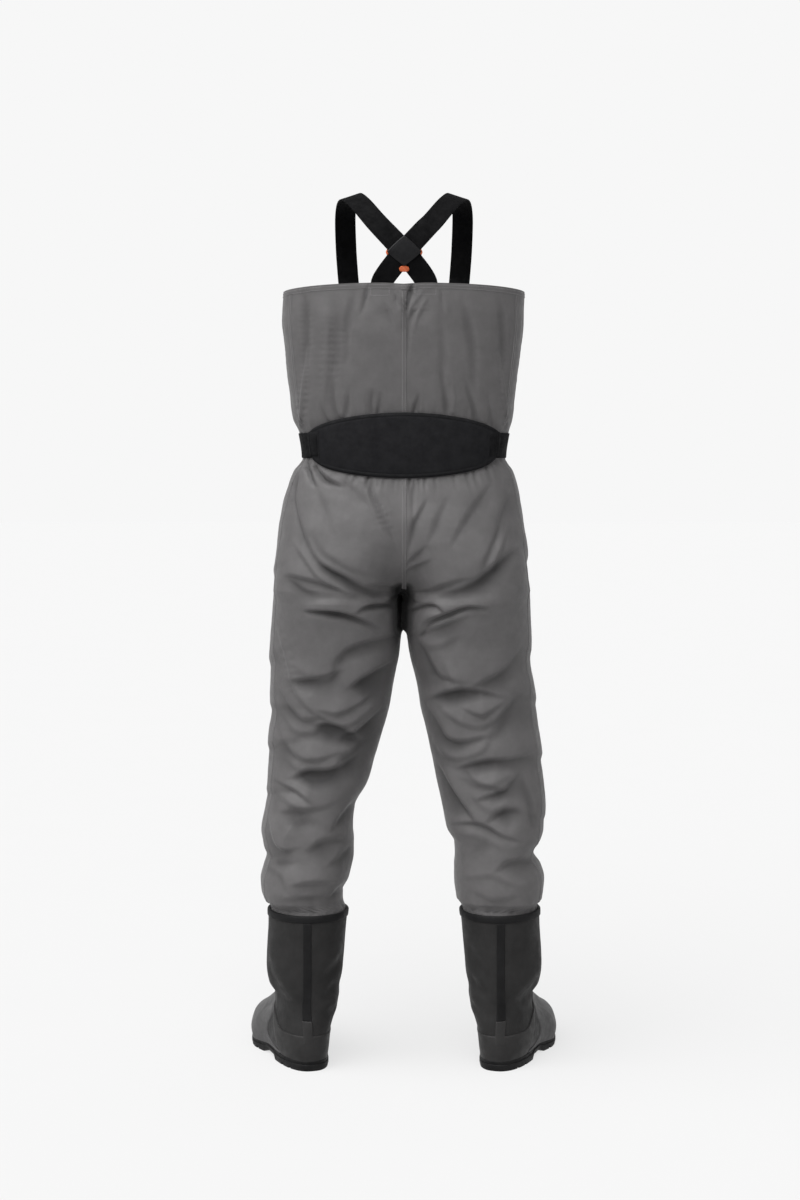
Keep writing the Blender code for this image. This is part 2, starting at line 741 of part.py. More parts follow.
def build_lap(parent):
    """The belt's free end, lapped over itself at the front."""
    near = 2 * GAP + WEBBING_THICK
    far = near + WEBBING_THICK
    front = TORSO_POINTS // 2
    kept = range(front - LAP_POINTS // 2, front + LAP_POINTS // 2 + 1)
    edges = [(BELT_BOTTOM, near), (BELT_TOP, near), (BELT_TOP, far), (BELT_BOTTOM, far)]
    runs = [[webbing_edge(section, distance)[i] for i in kept] for section, distance in edges]
    count = len(kept)
    points = [point for run in runs for point in run]
    numbers = [list(range(i * count, (i + 1) * count)) for i in range(4)]
    faces = []
    for i in range(4):
        faces += strip_faces(numbers[i], numbers[(i + 1) % 4], closed=False)
    faces += [tuple(run[0] for run in numbers), tuple(run[-1] for run in numbers)]
    new_object("belt_lap", points, faces, "black_webbing", parent)


def shell_outside(index, height):
    """A point of the shell's outside on the line of a ring place, at any height."""
    rings = torso_rings()
    low = math.floor(index)
    place = index - low
    column = [
        ring[low % TORSO_POINTS].lerp(ring[(low + 1) % TORSO_POINTS], place) for ring in rings
    ]
    heights = [point.z for point in column][::-1]
    return Vector(
        [float(np.interp(height, heights, [point[axis] for point in column][::-1])) for axis in range(3)]
    )


def shell_normal(index, height):
    before, after = shell_outside(index - 1, height), shell_outside(index + 1, height)
    along = after - before
    return Vector((along.y, -along.x, 0)).normalized()


def pad_half_height(share):
    return PAD_END_HALF + (PAD_MID_HALF - PAD_END_HALF) * (1 - share**2)


def build_pad(parent):
    """The back pad: a stiff panel that bridges the pinched waist, crowned towards its middle."""
    columns = [-PAD_END_INDEX] + list(range(-PAD_COLUMNS, PAD_COLUMNS + 1)) + [PAD_END_INDEX]
    middle = (BELT_TOP.height + BELT_BOTTOM.height) / 2
    stand_off = 2 * GAP + WEBBING_THICK
    skins = [[], []]
    for index in columns:
        share = index / PAD_END_INDEX
        half = pad_half_height(share)
        normal = shell_normal(index, middle)
        low = shell_outside(index, middle - half) + normal * stand_off
        high = shell_outside(index, middle + half) + normal * stand_off
        for row in range(PAD_ROWS + 1):
            rise = row / PAD_ROWS
            crown = 1 - (2 * rise - 1) ** 2
            thick = PAD_EDGE_THICK + (PAD_THICK - PAD_EDGE_THICK) * crown
            point = low.lerp(high, rise)
            skins[0].append(point)
            skins[1].append(point + normal * thick)
    points, faces = plate_of(*skins, len(columns))
    new_object("lumbar_pad", points, faces, "pad_neoprene", parent)


# Braces


def curve_through(rows, count):
    """Evenly spread values on a smooth curve through the rows, each a sequence of numbers."""
    table = np.array(rows, float)
    table = np.vstack([2 * table[0] - table[1], table, 2 * table[-1] - table[-2]])
    values = []
    for place in np.linspace(0, len(rows) - 1, count):
        i = min(int(place), len(rows) - 2)
        u = place - i
        a, b, c, d = table[i : i + 4]
        slope_b, slope_c = (c - a) / 2, (d - b) / 2
        u2, u3 = u * u, u**3
        values.append(
            (2 * u3 - 3 * u2 + 1) * b + (u3 - 2 * u2 + u) * slope_b
            + (3 * u2 - 2 * u3) * c + (u3 - u2) * slope_c
        )
    return np.array(values)


@lru_cache
def back_curve():
    """Heights and depths of the braces' middle surface on the wearer's back, from the bib up."""
    rows = curve_through(BRACE_ROUTE, BACK_SAMPLES)
    back = rows[rows[:, 1] < BACK_LIMIT]
    return back[:, 2], back[:, 1]


def back_surface(z):
    """(y, normal) of the braces' middle surface on the wearer's back, at a height."""
    heights, depths = back_curve()
    y = float(np.interp(z, heights, depths))
    slope = (np.interp(z + BACK_STEP, heights, depths) - np.interp(z - BACK_STEP, heights, depths))
    return y, Vector((0, -2 * BACK_STEP, slope)).normalized()


def brace_rings(side, lift):
    """Sections along a brace; lift raises it over the other one, on the back surface they share."""
    rows = curve_through(BRACE_ROUTE, BRACE_STATIONS)
    rings = []
    for i, (x, y, z, normal_x, normal_y, normal_z) in enumerate(rows):
        before, after = rows[max(i - 1, 0)], rows[min(i + 1, len(rows) - 1)]
        tangent = Vector(after[:3] - before[:3]).normalized()
        normal = Vector((normal_x, normal_y, normal_z))
        normal = (normal - tangent * normal.dot(tangent)).normalized()
        across = tangent.cross(normal)
        shared = smooth(1 - (abs(z - CROSSING.z) - LIFT_REACH) / LIFT_FADE) if y < 0 else 0
        near, far = [], []
        for j in range(BRACE_CELLS + 1):
            point = Vector((x, y, z)) + across * BRACE_WIDTH * (j / BRACE_CELLS - 0.5)
            depth, outward = back_surface(point.z)
            point.y += (depth - point.y) * shared
            facing = normal.lerp(outward, shared).normalized()
            near.append(point + facing * (lift * shared - BRACE_THICK / 2))
            far.append(point + facing * (lift * shared + BRACE_THICK / 2))
        rings.append([mirrored(point, side) for point in near + far[::-1]])
    return rings


def build_brace(name, side, lift, parent):
    rings = brace_rings(side, lift)
    points, faces = tube_of(rings)
    count = len(rings[0])
    for first in (0, len(points) - count):
        near = [first + j for j in range(BRACE_CELLS + 1)]
        far = [first + count - 1 - j for j in range(BRACE_CELLS + 1)]
        faces += strip_faces(near, far, closed=False)
    new_object(name, points, faces, "black_webbing", parent)


def build_patch(name, grow, inner, finish, parent):
    """A diamond with blunt corners that lies on the crossing, inner being its near face's offset."""
    cells = PATCH_CELLS
    skins = [[], []]
    for i in range(cells + 1):
        for j in range(cells + 1):
            u, v = 2 * i / cells - 1, 2 * j / cells - 1
            across, rise = (u + v) / 2, (u - v) / 2
            blunt = (abs(across) ** PATCH_CORNER + abs(rise) ** PATCH_CORNER) ** (1 / PATCH_CORNER)
            scale = grow * max(abs(u), abs(v)) / blunt if blunt else 0
            x = CROSSING.x + across * scale * PATCH_HALF_WIDTH
            z = CROSSING.z + rise * scale * PATCH_HALF_HEIGHT
            y, normal = back_surface(z)
            for skin, offset in zip(skins, (inner, inner + PATCH_THICK)):
                skin.append(Vector((x, y, z)) + normal * offset)
    points, faces = plate_of(*skins, cells + 1)
    new_object(name, points, faces, finish, parent)


def build_braces(parent):
    lift = BRACE_THICK + LIFT_CLEAR
    build_brace("brace_left", -1, 0, parent)
    build_brace("brace_right", 1, lift, parent)
    face = lift + BRACE_THICK / 2 + PATCH_CLEAR
    build_patch("crosspatch", 1.0, face, "patch_leather", parent)
    under = -BRACE_THICK / 2 - PATCH_CLEAR - PATCH_THICK
    build_patch("crosspatch_backing", BACKING_GROW, under, "tan_leather", parent)


def clear_scene():
    for old in list(bpy.data.objects):
        bpy.data.objects.remove(old)


def settle_on_origin(root):
    """Moves everything so that the origin is under the middle of the object, on the floor."""
    bpy.context.view_layer.update()
    graph = bpy.context.evaluated_depsgraph_get()
    corners = []
    for made in bpy.context.scene.objects:
        if made.type == "MESH" and not made.hide_render:
            evaluated = made.evaluated_get(graph)
            corners += [evaluated.matrix_world @ vertex.co for vertex in evaluated.data.vertices]
    low = [min(corner[axis] for corner in corners) for axis in range(3)]
    high = [max(corner[axis] for corner in corners) for axis in range(3)]
    root.location = (-(low[0] + high[0]) / 2, -(low[1] + high[1]) / 2, -low[2])


def main():
    clear_scene()
    root = frame_empty("waders", (0, 0, 0), 0, None)
    build_shell(root)
    build_boot("left", -1, root)
    build_boot("right", 1, root)
    build_webbing(root)
    build_lap(root)
    build_pad(root)
    build_braces(root)
    settle_on_origin(root)


main()
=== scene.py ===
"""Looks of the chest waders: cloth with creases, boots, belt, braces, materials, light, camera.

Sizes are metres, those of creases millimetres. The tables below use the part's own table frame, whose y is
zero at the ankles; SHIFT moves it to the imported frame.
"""

import math
from collections import namedtuple

import bpy
import numpy as np
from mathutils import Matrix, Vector, noise
from mathutils.bvhtree import BVHTree


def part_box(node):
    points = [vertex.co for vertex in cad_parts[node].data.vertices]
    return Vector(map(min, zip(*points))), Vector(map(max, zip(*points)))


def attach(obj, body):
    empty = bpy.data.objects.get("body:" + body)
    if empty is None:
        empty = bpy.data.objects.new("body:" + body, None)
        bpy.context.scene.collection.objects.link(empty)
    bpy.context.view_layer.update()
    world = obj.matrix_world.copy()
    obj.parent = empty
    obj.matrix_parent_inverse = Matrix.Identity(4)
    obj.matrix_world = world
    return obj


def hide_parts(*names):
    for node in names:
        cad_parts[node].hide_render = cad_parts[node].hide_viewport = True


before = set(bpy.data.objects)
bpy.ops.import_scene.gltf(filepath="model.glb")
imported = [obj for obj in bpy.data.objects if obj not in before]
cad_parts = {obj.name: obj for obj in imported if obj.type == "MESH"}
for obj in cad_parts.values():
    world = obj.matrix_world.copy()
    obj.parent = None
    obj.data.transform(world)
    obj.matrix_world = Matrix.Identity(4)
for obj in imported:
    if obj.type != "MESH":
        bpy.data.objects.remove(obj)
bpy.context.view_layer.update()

# Clearances, walls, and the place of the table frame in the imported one
GAP = 0.0003
SLEEVE_GAP = 0.0005
SHELL_WALL = 0.0014
BOOT_WALL = 0.0035
BELT_BACK = 0.101
WEBBING_THICK = 0.0022
SHIFT = Vector((0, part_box("belt_webbing")[0][1] + BELT_BACK + GAP + WEBBING_THICK, 0))

# Shell mesh: points round the body, their crowding at the back, points along the crotch and round a
# leg, and rows along them
TORSO_COLUMNS = 320
CROWDING = 0.32
CROTCH_COLUMNS = 65
HALF_COLUMNS = TORSO_COLUMNS // 2 + 1
LEG_COLUMNS = HALF_COLUMNS + CROTCH_COLUMNS
HEM_ROWS = [0, 0.0012, 0.0035, 0.0065, 0.0090, 0.0104, 0.0130]
TORSO_ROWS = 198
LEG_ROW = 0.0027
LINING_STEP = 4
LINING_INSET = 0.0140
LINING_EASE_ROWS = 8
FORK_ROWS = 2
ANGLE_STEP = 0.01
# Angles in degrees over which an edge stays sharp: on most pieces, on the cloth and on the soles
SHARP = 60
CLOTH_SHARP = 180
SOLE_SHARP = 35

# Bib: heights of its edge, the low dip between the braces, and the fork
BIB_TOP_BACK = 1.399
BIB_TOP_SIDE = 1.390
BIB_TOP_FRONT = 1.402
BIB_DIP = 0.0022
BIB_DIP_WIDTH = 0.022
FORK_Z = 0.860
FORK_SAG = 0.010
CLEFT_WIDTH = 0.050
LEG_POWER = 2.2
LEG_START = 0.842
LEG_END = 0.2975
BODY_RADIUS = 0.17
LEG_RADIUS = 0.07

# Outline of the body: height, left, right
TORSO_OUTLINE = [
    (0.860, 0.2357, 0.2258),
    (0.884, 0.2347, 0.2239),
    (0.927, 0.2291, 0.2219),
    (0.970, 0.2253, 0.2163),
    (1.013, 0.2179, 0.2107),
    (1.045, 0.2085, 0.2040),
    (1.072, 0.1985, 0.1955),
    (1.096, 0.1810, 0.1810),
    (1.140, 0.1870, 0.1870),
    (1.165, 0.1985, 0.1940),
    (1.207, 0.2045, 0.1991),
    (1.250, 0.2097, 0.2043),
    (1.293, 0.2131, 0.2095),
    (1.340, 0.2180, 0.2135),
    (1.392, 0.2145, 0.2144),
]
# Depth of the body: height, back, front, roundness, cleft between the thighs
TORSO_DEPTH = [
    (0.860, 0.134, 0.111, 3.4, 0.55),
    (0.915, 0.142, 0.117, 2.9, 0.20),
    (0.965, 0.138, 0.122, 2.6, 0.06),
    (1.020, 0.124, 0.125, 2.5, 0.02),
    (1.072, 0.107, 0.123, 2.5, 0.00),
    (1.096, 0.099, 0.117, 2.5, 0.00),
    (1.140, 0.101, 0.119, 2.5, 0.00),
    (1.165, 0.107, 0.124, 2.5, 0.00),
    (1.205, 0.114, 0.125, 2.5, 0.00),
    (1.345, 0.121, 0.121, 2.5, 0.00),
    (1.392, 0.118, 0.118, 2.5, 0.00),
]
BIB_HALF = TORSO_OUTLINE[-1][1]
BIB_POWER = TORSO_DEPTH[-1][3]
# Outline of the legs: height, left outer, left inner, right inner, right outer
LEG_OUTLINE = [
    (0.2975, 0.2545, 0.1113, 0.0955, 0.2515),
    (0.3130, 0.2593, 0.1113, 0.0933, 0.2540),
    (0.3355, 0.2610, 0.1003, 0.0914, 0.2557),
    (0.3580, 0.2572, 0.0948, 0.0913, 0.2501),
    (0.3800, 0.2517, 0.0911, 0.0931, 0.2372),
    (0.4020, 0.2552, 0.0911, 0.0913, 0.2463),
    (0.4240, 0.2587, 0.0929, 0.0785, 0.2534),
    (0.4680, 0.2530, 0.0892, 0.0693, 0.2568),
    (0.5120, 0.2474, 0.0654, 0.0601, 0.2548),
    (0.5560, 0.2472, 0.0527, 0.0510, 0.2509),
    (0.6000, 0.2451, 0.0399, 0.0418, 0.2452),
    (0.6440, 0.2413, 0.0272, 0.0309, 0.2414),
    (0.6880, 0.2429, 0.0199, 0.0236, 0.2357),
    (0.7310, 0.2427, 0.0108, 0.0127, 0.2301),
    (0.7750, 0.2407, 0.0052, 0.0052, 0.2299),
    (0.8000, 0.2390, 0.0020, 0.0020, 0.2289),
    (0.8420, 0.2362, 0.0020, 0.0020, 0.2272),
]
# Depth of the legs: height, back, front
LEG_DEPTH = [
    (0.2975, 0.089, 0.072),
    (0.306, 0.090, 0.073),
    (0.338, 0.093, 0.077),
    (0.380, 0.088, 0.077),
    (0.425, 0.088, 0.083),
    (0.480, 0.085, 0.089),
    (0.535, 0.087, 0.094),
    (0.590, 0.091, 0.096),
    (0.715, 0.103, 0.101),
    (0.770, 0.111, 0.104),
    (0.842, 0.130, 0.109),
]
LEG_SPREAD_START = math.radians(66)
LEG_SPREAD_END = math.radians(30)
LEG_EASE_START = 2.3
# How far the points round a leg have spread out evenly: height, share
LEG_SPREAD = [(0.590, 1.0), (0.715, 0.741), (0.770, 0.259), (0.842, 0.0)]
# Bend of the inner thighs to one side and back on the way through, which closes the legs against each other
BEND = 0.0085
BEND_WIDTH = 0.030
BEND_DEPTH = 0.026
BEND_LOW = 0.776
BEND_HIGH = 0.892
BEND_FADE = 0.018
# Dent where the seat's seam meets the thighs, and the painted shadow that darkens the cleft between them
CROTCH_DENT = 0.006
CROTCH_DENT_HALF = 0.020
CROTCH_DENT_HEIGHT = 0.013
CROTCH_DENT_Z = 0.856
CLEFT_SHADE = 0.0240
CLEFT_X = -0.003
CLEFT_LOW = 0.735
CLEFT_LOW_FADE = 0.070
CLEFT_HIGH = 0.880
CLEFT_FADE = 0.014
CLEFT_DEPTH = 0.030
CLEFT_SHADE_WIDTH = 0.0155
# End of the legs inside the boots
CUFF_RISE = 0.004
CUFF_TURN_ROWS = 4
CUFF_ROWS = 5
# Cloth near the belt and pad: how near, how far it stands out there, and its fade under them
COVER_NEAR = 0.006
COVER_LIFT = 0.0008
COVER_UNDER = 0.012
COVER_FADE = 0.010
# Cloth in front of the braces' ends: their place across, half width, drop and depth, and how far it may
# sink
BRACE_END_X = 0.0385
BRACE_END_HALF = 0.024
BRACE_END_DROP = 0.045
BRACE_END_Y = 0.08
BRACE_END_SINK = 0.0006
# Hem: its rise, the depth below the edge over which folds come in, and their share at the edge
HEM_RISE = 0.0006
HEM_STEADY = 0.012
HEM_SHARE = 0.35

# Boots: place and turn-out of the feet, and slices of the last from the sole's edge to the collar
BOOT_X = 0.178
TURN_OUT = math.radians(19)
HEEL_SHARE = 0.17
WAIST_SHARE = 0.42
BALL_SHARE = 0.68
TOE_SWAY = 0.009
SWAY_START = 0.080
SWAY_LENGTH = 0.125
Slice = namedtuple("Slice", "back_y back_z front_y front_z heel waist ball power follow lean")
BOOT_SLICES = [
    Slice(-0.0880, 0.0183, 0.2040, 0.0228, 0.0470, 0.0455, 0.0595, 2.5, 1.0, 0.0137),
    Slice(-0.0905, 0.0340, 0.2065, 0.0400, 0.0505, 0.0485, 0.0612, 2.5, 1.0, 0.0147),
    Slice(-0.0915, 0.0520, 0.2000, 0.0580, 0.0520, 0.0495, 0.0585, 2.4, 0.6, 0.0137),
    Slice(-0.0910, 0.0700, 0.1670, 0.0740, 0.0525, 0.0505, 0.0515, 2.3, 0.3, 0.0107),
    Slice(-0.0900, 0.0860, 0.1400, 0.0880, 0.0530, 0.0520, 0.0450, 2.2, 0.0, 0.0064),
    Slice(-0.0885, 0.1020, 0.1100, 0.1050, 0.0545, 0.0550, 0.0460, 2.1, 0.0, 0.0020),
    Slice(-0.0875, 0.1190, 0.0880, 0.1270, 0.0565, 0.0575, 0.0525, 2.0, 0.0, 0.0015),
    Slice(-0.0870, 0.1420, 0.0730, 0.1500, 0.0625, 0.0645, 0.0625, 2.0, 0.0, 0.0075),
    Slice(-0.0875, 0.1750, 0.0670, 0.1790, 0.0685, 0.0695, 0.0685, 2.0, 0.0, 0.0070),
    Slice(-0.0890, 0.2500, 0.0665, 0.2500, 0.0700, 0.0702, 0.0700, 2.0, 0.0, 0.0020),
    Slice(-0.0900, 0.2800, 0.0675, 0.2800, 0.0715, 0.0715, 0.0715, 2.0, 0.0, 0.0000),
]
CUFF_LEVEL = 9
COLLAR_LEVEL = 10
FEATHER = BOOT_SLICES[0]
COLLAR = BOOT_SLICES[COLLAR_LEVEL]
BOOT_COLUMNS = 144
BOOT_ROWS = 84
BOOT_STEP = 0.02
FOOT_LENGTH = FEATHER.front_y - FEATHER.back_y
# Unevenness of the uppers, and the heights between which the shafts crease, with their fades
BOOT_UNEVEN = 0.0006
BOOT_UNEVEN_SCALE = Vector((26, 26, 20))
SHAFT_LOW = 0.085
SHAFT_LOW_FADE = 0.03
SHAFT_HIGH = 0.262
SHAFT_HIGH_FADE = 0.02

# Outsole: share along the foot, bottom, top; grooves as first, pitch, count, width; the stepped edge as
# share of its height and outset
SOLE_PROFILE = [
    (0.00, 0.000, 0.0180),
    (0.31, 0.000, 0.0190),
    (0.33, 0.008, 0.0195),
    (0.45, 0.008, 0.0190),
    (0.51, 0.000, 0.0175),
    (0.78, 0.000, 0.0125),
    (0.90, 0.004, 0.0150),
    (1.00, 0.012, 0.0225),
]
SOLE_STATIONS = 150
TREAD = 0.0045
GROOVE_DEPTH = 0.0040
GROOVE_WALL = 0.0008
GROOVES = [(0.028, 0.024, 2, 0.005), (0.168, 0.020, 5, 0.006)]
SOLE_EDGE = [
    (0.00, 0.0030),
    (0.05, 0.0033),
    (0.47, 0.0033),
    (0.52, 0.0028),
    (0.56, 0.0016),
    (0.93, 0.0024),
    (1.00, 0.0018),
]
TREAD_INSET = 0.0010

# Boot overlays: their thickness, the rows or columns of their mesh with the share of a rolled edge, and
# that edge's places in its own width with the share of the thickness there
RUBBER_THICK = 0.0020
STRIP_THICK = 0.0016
TOE_ROWS = (64, 0.006)
TOE_COLUMNS = (70, 0.010)
COUNTER_ROWS = (18, 0.02)
COUNTER_COLUMNS = (80, 0.008)
BAND_ROWS = (40, 0.012)
BAND_COLUMNS = (9, 0.05)
ROLL = [(0.0, -0.15), (0.25, 0.55), (1.0, 0.92)]
ROLL_END = 2.5
HALVINGS = 40
RIM_CLOSED = 1e-4
TOE_TOP_LEVELS = (4.0, 7.0)
COUNTER_LEVELS = (0.0, 7.0)
# Edges of the toe cap and of the heel counter, seen from the side: z and y
TOE_RIM = [
    (0.000, -0.036),
    (0.020, -0.022),
    (0.025, 0.004),
    (0.032, 0.026),
    (0.039, 0.037),
    (0.046, 0.040),
    (0.054, 0.038),
    (0.062, 0.033),
    (0.071, 0.026),
    (0.080, 0.022),
    (0.090, 0.026),
    (0.100, 0.034),
    (0.112, 0.052),
    (0.124, 0.086),
    (0.136, 0.130),
]
COUNTER_RIM = [
    (0.000, -0.040),
    (0.057, -0.001),
    (0.114, 0.038),
]
COUNTER_HEEL_Z = 0.064
COUNTER_FRONT_Z = 0.112
COUNTER_SWEEP_START = -0.045
COUNTER_SWEEP_LENGTH = 0.105
BACK_LINE = 0.0236
TAB_HALF = 0.0080
TAB_BOTTOM = 0.0500
TAB_TOP = 0.0900
STRIP_HALF = 0.0070
STRIP_BOTTOM = 0.0895
STRIP_TOP = 0.2670
# Binding's section, from its lower edge over the collar: height over the collar's edge, lift
BINDING_SECTION = [
    (-0.0120, -0.0003),
    (-0.0120, 0.0010),
    (-0.0110, 0.0019),
    (-0.0060, 0.0021),
    (-0.0010, 0.0019),
    (0.0003, 0.0011),
    (0.0008, -0.0008),
    (0.0006, -0.0026),
    (0.0001, -0.0034),
]

# Belt and its lapped end; its section as shares of the height and of the thickness
BELT_LOW = 1.096
BELT_HIGH = 1.140
BELT_MIDDLE = (BELT_LOW + BELT_HIGH) / 2
WAIST_HALF = 0.184
LAP_HALF = math.pi / 8
LAP_STATIONS = 40
WEBBING_SECTION = [
    (0.02, 0.0),
    (0.5, 0.0),
    (0.98, 0.0),
    (1.0, 0.3),
    (1.0, 0.7),
    (0.985, 1.0),
    (0.75, 1.05),
    (0.5, 1.06),
    (0.25, 1.05),
    (0.015, 1.0),
    (0.0, 0.7),
    (0.0, 0.3),
]

# Back pad: its end's angle, half heights, thickness and crown, its bound edge with the roll of that
# edge, and the groove and bead in the edge as depth or height and width
PAD_END = math.radians(55.125)
PAD_MID_HALF = 0.057
PAD_END_HALF = 0.025
PAD_THICK = 0.0062
PAD_EDGE_THICK = 0.0026
PAD_CROWN = 0.8
PAD_BORDER = 0.0068
PAD_ROLL = 0.0035
PAD_ROLL_SHARE = 0.35
PAD_GROOVE = (0.0007, 0.0011)
PAD_BEAD = (0.0003, 0.0022)
PAD_OFF = 2 * GAP + WEBBING_THICK
# Pad's mesh: shares of its half length and of its height, close together at the edges
PAD_TURNS = (1.0, 0.996, 0.985)
PAD_TURN_INSIDE = 0.97
PAD_TURN_COUNT = 117
PAD_RISES = (0, 0.004, 0.012, 0.024, 0.038, 0.050, 0.058, 0.064, 0.070, 0.080, 0.095)
PAD_RISE_INSIDE = 0.125
PAD_RISE_COUNT = 21
PAD_BACK_STEP = 4
# Slits where the belt leaves the pad: angle, reach over the belt, mesh, and its lines as shift and lift
SLIT_ANGLE = math.radians(46)
SLIT_OVER = 0.005
SLIT_STATIONS = 14
SLIT_LINES = [(-0.018, -0.0004), (-0.013, 0.0008), (-0.006, 0.0009), (0.002, 0.0003)]
# Belt from the slit to beyond the pad's end: angle beyond it, angles over which it comes down, edge inset,
# rise over the pad, lift off pad and belt, angle over which it comes out of the slit, depth there, wall
TAIL_BEYOND = 0.16
TAIL_DOWN_START = 0.02
TAIL_DOWN = 0.10
TAIL_INSET = 0.001
TAIL_RISE = 0.003
TAIL_LIFT = 0.0012
TAIL_CLEAR = 0.0004
TAIL_OUT = 0.03
TAIL_SUNK = 0.0016
TAIL_WALL = 0.0012
TAIL_STATIONS = 44
TAIL_COLUMNS = 9

# Braces: x, y, z and the outward direction along one of them, x being positive on its shoulder
BRACE_WIDTH = 0.038
BRACE_THICK = 0.0018
BRACE_STATIONS = 150
BACK_LIMIT = -0.02
BACK_STEP = 0.003
BACK_STATIONS = 400
LIFT_REACH = 0.038
LIFT_CLEAR = 0.0007
LIFT_FADE = 0.016
BRACE_ROUTE = [
    (-0.0385, -0.1161, 1.358, -0.03, -1.00, 0.00),
    (-0.0382, -0.1145, 1.382, -0.03, -1.00, 0.00),
    (-0.0360, -0.1122, 1.405, 0.00, -1.00, 0.02),
    (0.0000, -0.1215, 1.451, 0.00, -1.00, 0.12),
    (0.0470, -0.1110, 1.502, 0.05, -0.90, 0.45),
    (0.0800, -0.0720, 1.543, 0.22, -0.50, 0.85),
    (0.0980, -0.0100, 1.558, 0.32, 0.00, 0.95),
    (0.1060, 0.0570, 1.536, 0.24, 0.58, 0.78),
    (0.1060, 0.0970, 1.480, 0.12, 0.94, 0.32),
    (0.1030, 0.1080, 1.432, 0.12, 1.00, 0.05),
    (0.1005, 0.1058, 1.405, 0.19, 0.98, 0.00),
    (0.0990, 0.1076, 1.382, 0.20, 0.98, 0.00),
    (0.0985, 0.1092, 1.358, 0.20, 0.98, 0.00),
]
# Webbing's section: place across it and share of its thickness
BRACE_SECTION = [
    (-0.5, 0.4),
    (-0.485, 0.85),
    (-0.455, 1),
    (-0.2, 0.92),
    (0, 0.9),
    (0.2, 0.92),
    (0.455, 1),
    (0.485, 0.85),
    (0.5, 0.4),
]
CROSSING_Z = 1.451
PATCH_HALF_WIDTH = 0.0300
PATCH_HALF_HEIGHT = 0.0260
PATCH_THICK = 0.0022
# Patch, its backing and the backing's turned-up tab: middle height, width, height upwards and height
# downwards as shares of the plain patch, and the bluntness of their corners, 1 being sharp
PATCH_SIZES = (CROSSING_Z, 1.0, 1.06, 0.88, 1.10)
BACKING_SIZES = (CROSSING_Z, 1.06, 1.02, 1.20, 1.42)
TAB_SIZES = (1.4230, 0.290, 0.200, 0.190, 2.4)
PATCH_CELLS = 36
PATCH_CLEAR = 0.0010
PATCH_WALL = 0.0010
# Patch's edge: share that rolls down, thickness left at the very edge; groove as depth, place and
# width; shares taken by its darker glossy edge, above and below, the wider share below being partly
# painted shadow, and where below starts
PATCH_ROLL = 0.10
PATCH_ROLL_SHARE = 0.30
PATCH_GROOVE = (0.0006, 0.16, 0.03)
PATCH_BAND = 0.09
PATCH_SHADOW_BAND = 0.26
PATCH_LOW = -0.02

# Seams: angles of the side seams round the body; half width and stitch line of a centre and a side
# seam; the section as places across and shares of the rise; ends and clearances; boxes that hold the
# braces as left, right and low
BIB_SEAM_ANGLE = 1.071
LEG_SEAM_ANGLE = 1.214
CENTRE_SEAM = (0.0044, 0.0031)
SIDE_SEAM = (0.0040, 0.0027)
SEAM_SECTION = [(-1.0, -0.3), (-0.92, 0.7), (-0.6, 1.0), (0, 0.8), (0.6, 1.0), (0.92, 0.7), (1.0, -0.3)]
SEAM_RISE = 0.0007
SEAM_STEPS = 170
SEAM_TOP_DROP = 0.014
SEAM_FIRST_ROW = 5
SEAM_BELT_CLEAR = 0.012
SEAM_PAD_LAP = 0.004
SEAM_CUFF_LAP = 0.006
CENTRE_SEAM_LOW = 0.864
STITCH_RISE = 0.0006
HEM_LINES = (2, 4)
HEM_STITCH_RISE = 0.0001
BRACE_BOXES = [(-0.058, -0.026, 1.377), (0.019, 0.055, 1.379)]
BOX_DROP = 0.009
BOX_STEPS = 16
# Flex panel between toe cap and counter: its top, and how far it runs on under the counter
FLEX_TOP = 0.103
FLEX_LAP = 0.004

# Camera, as found from the photograph: place, tilt downwards and lens
CAMERA_PLACE = Vector((-0.0072, -3.7, 1.1))
CAMERA_TILT = math.radians(4.02)
CAMERA_LENS = 61.6

# Light: name, height, turn, spread and power of each lamp; the sky's fade by height, its strengths low and
# high, its fade from the sides to straight ahead, and its share elsewhere
SUNS = [("key", 55, 42, 70, 4.9), ("soft", 72, -30, 110, 1.2)]
SKY_FADE = (0.22, 0.55)
SKY_STRENGTH = (0.93, 0.16)
SKY_AHEAD = (0.30, 0.88)
SKY_BEHIND = 0.45

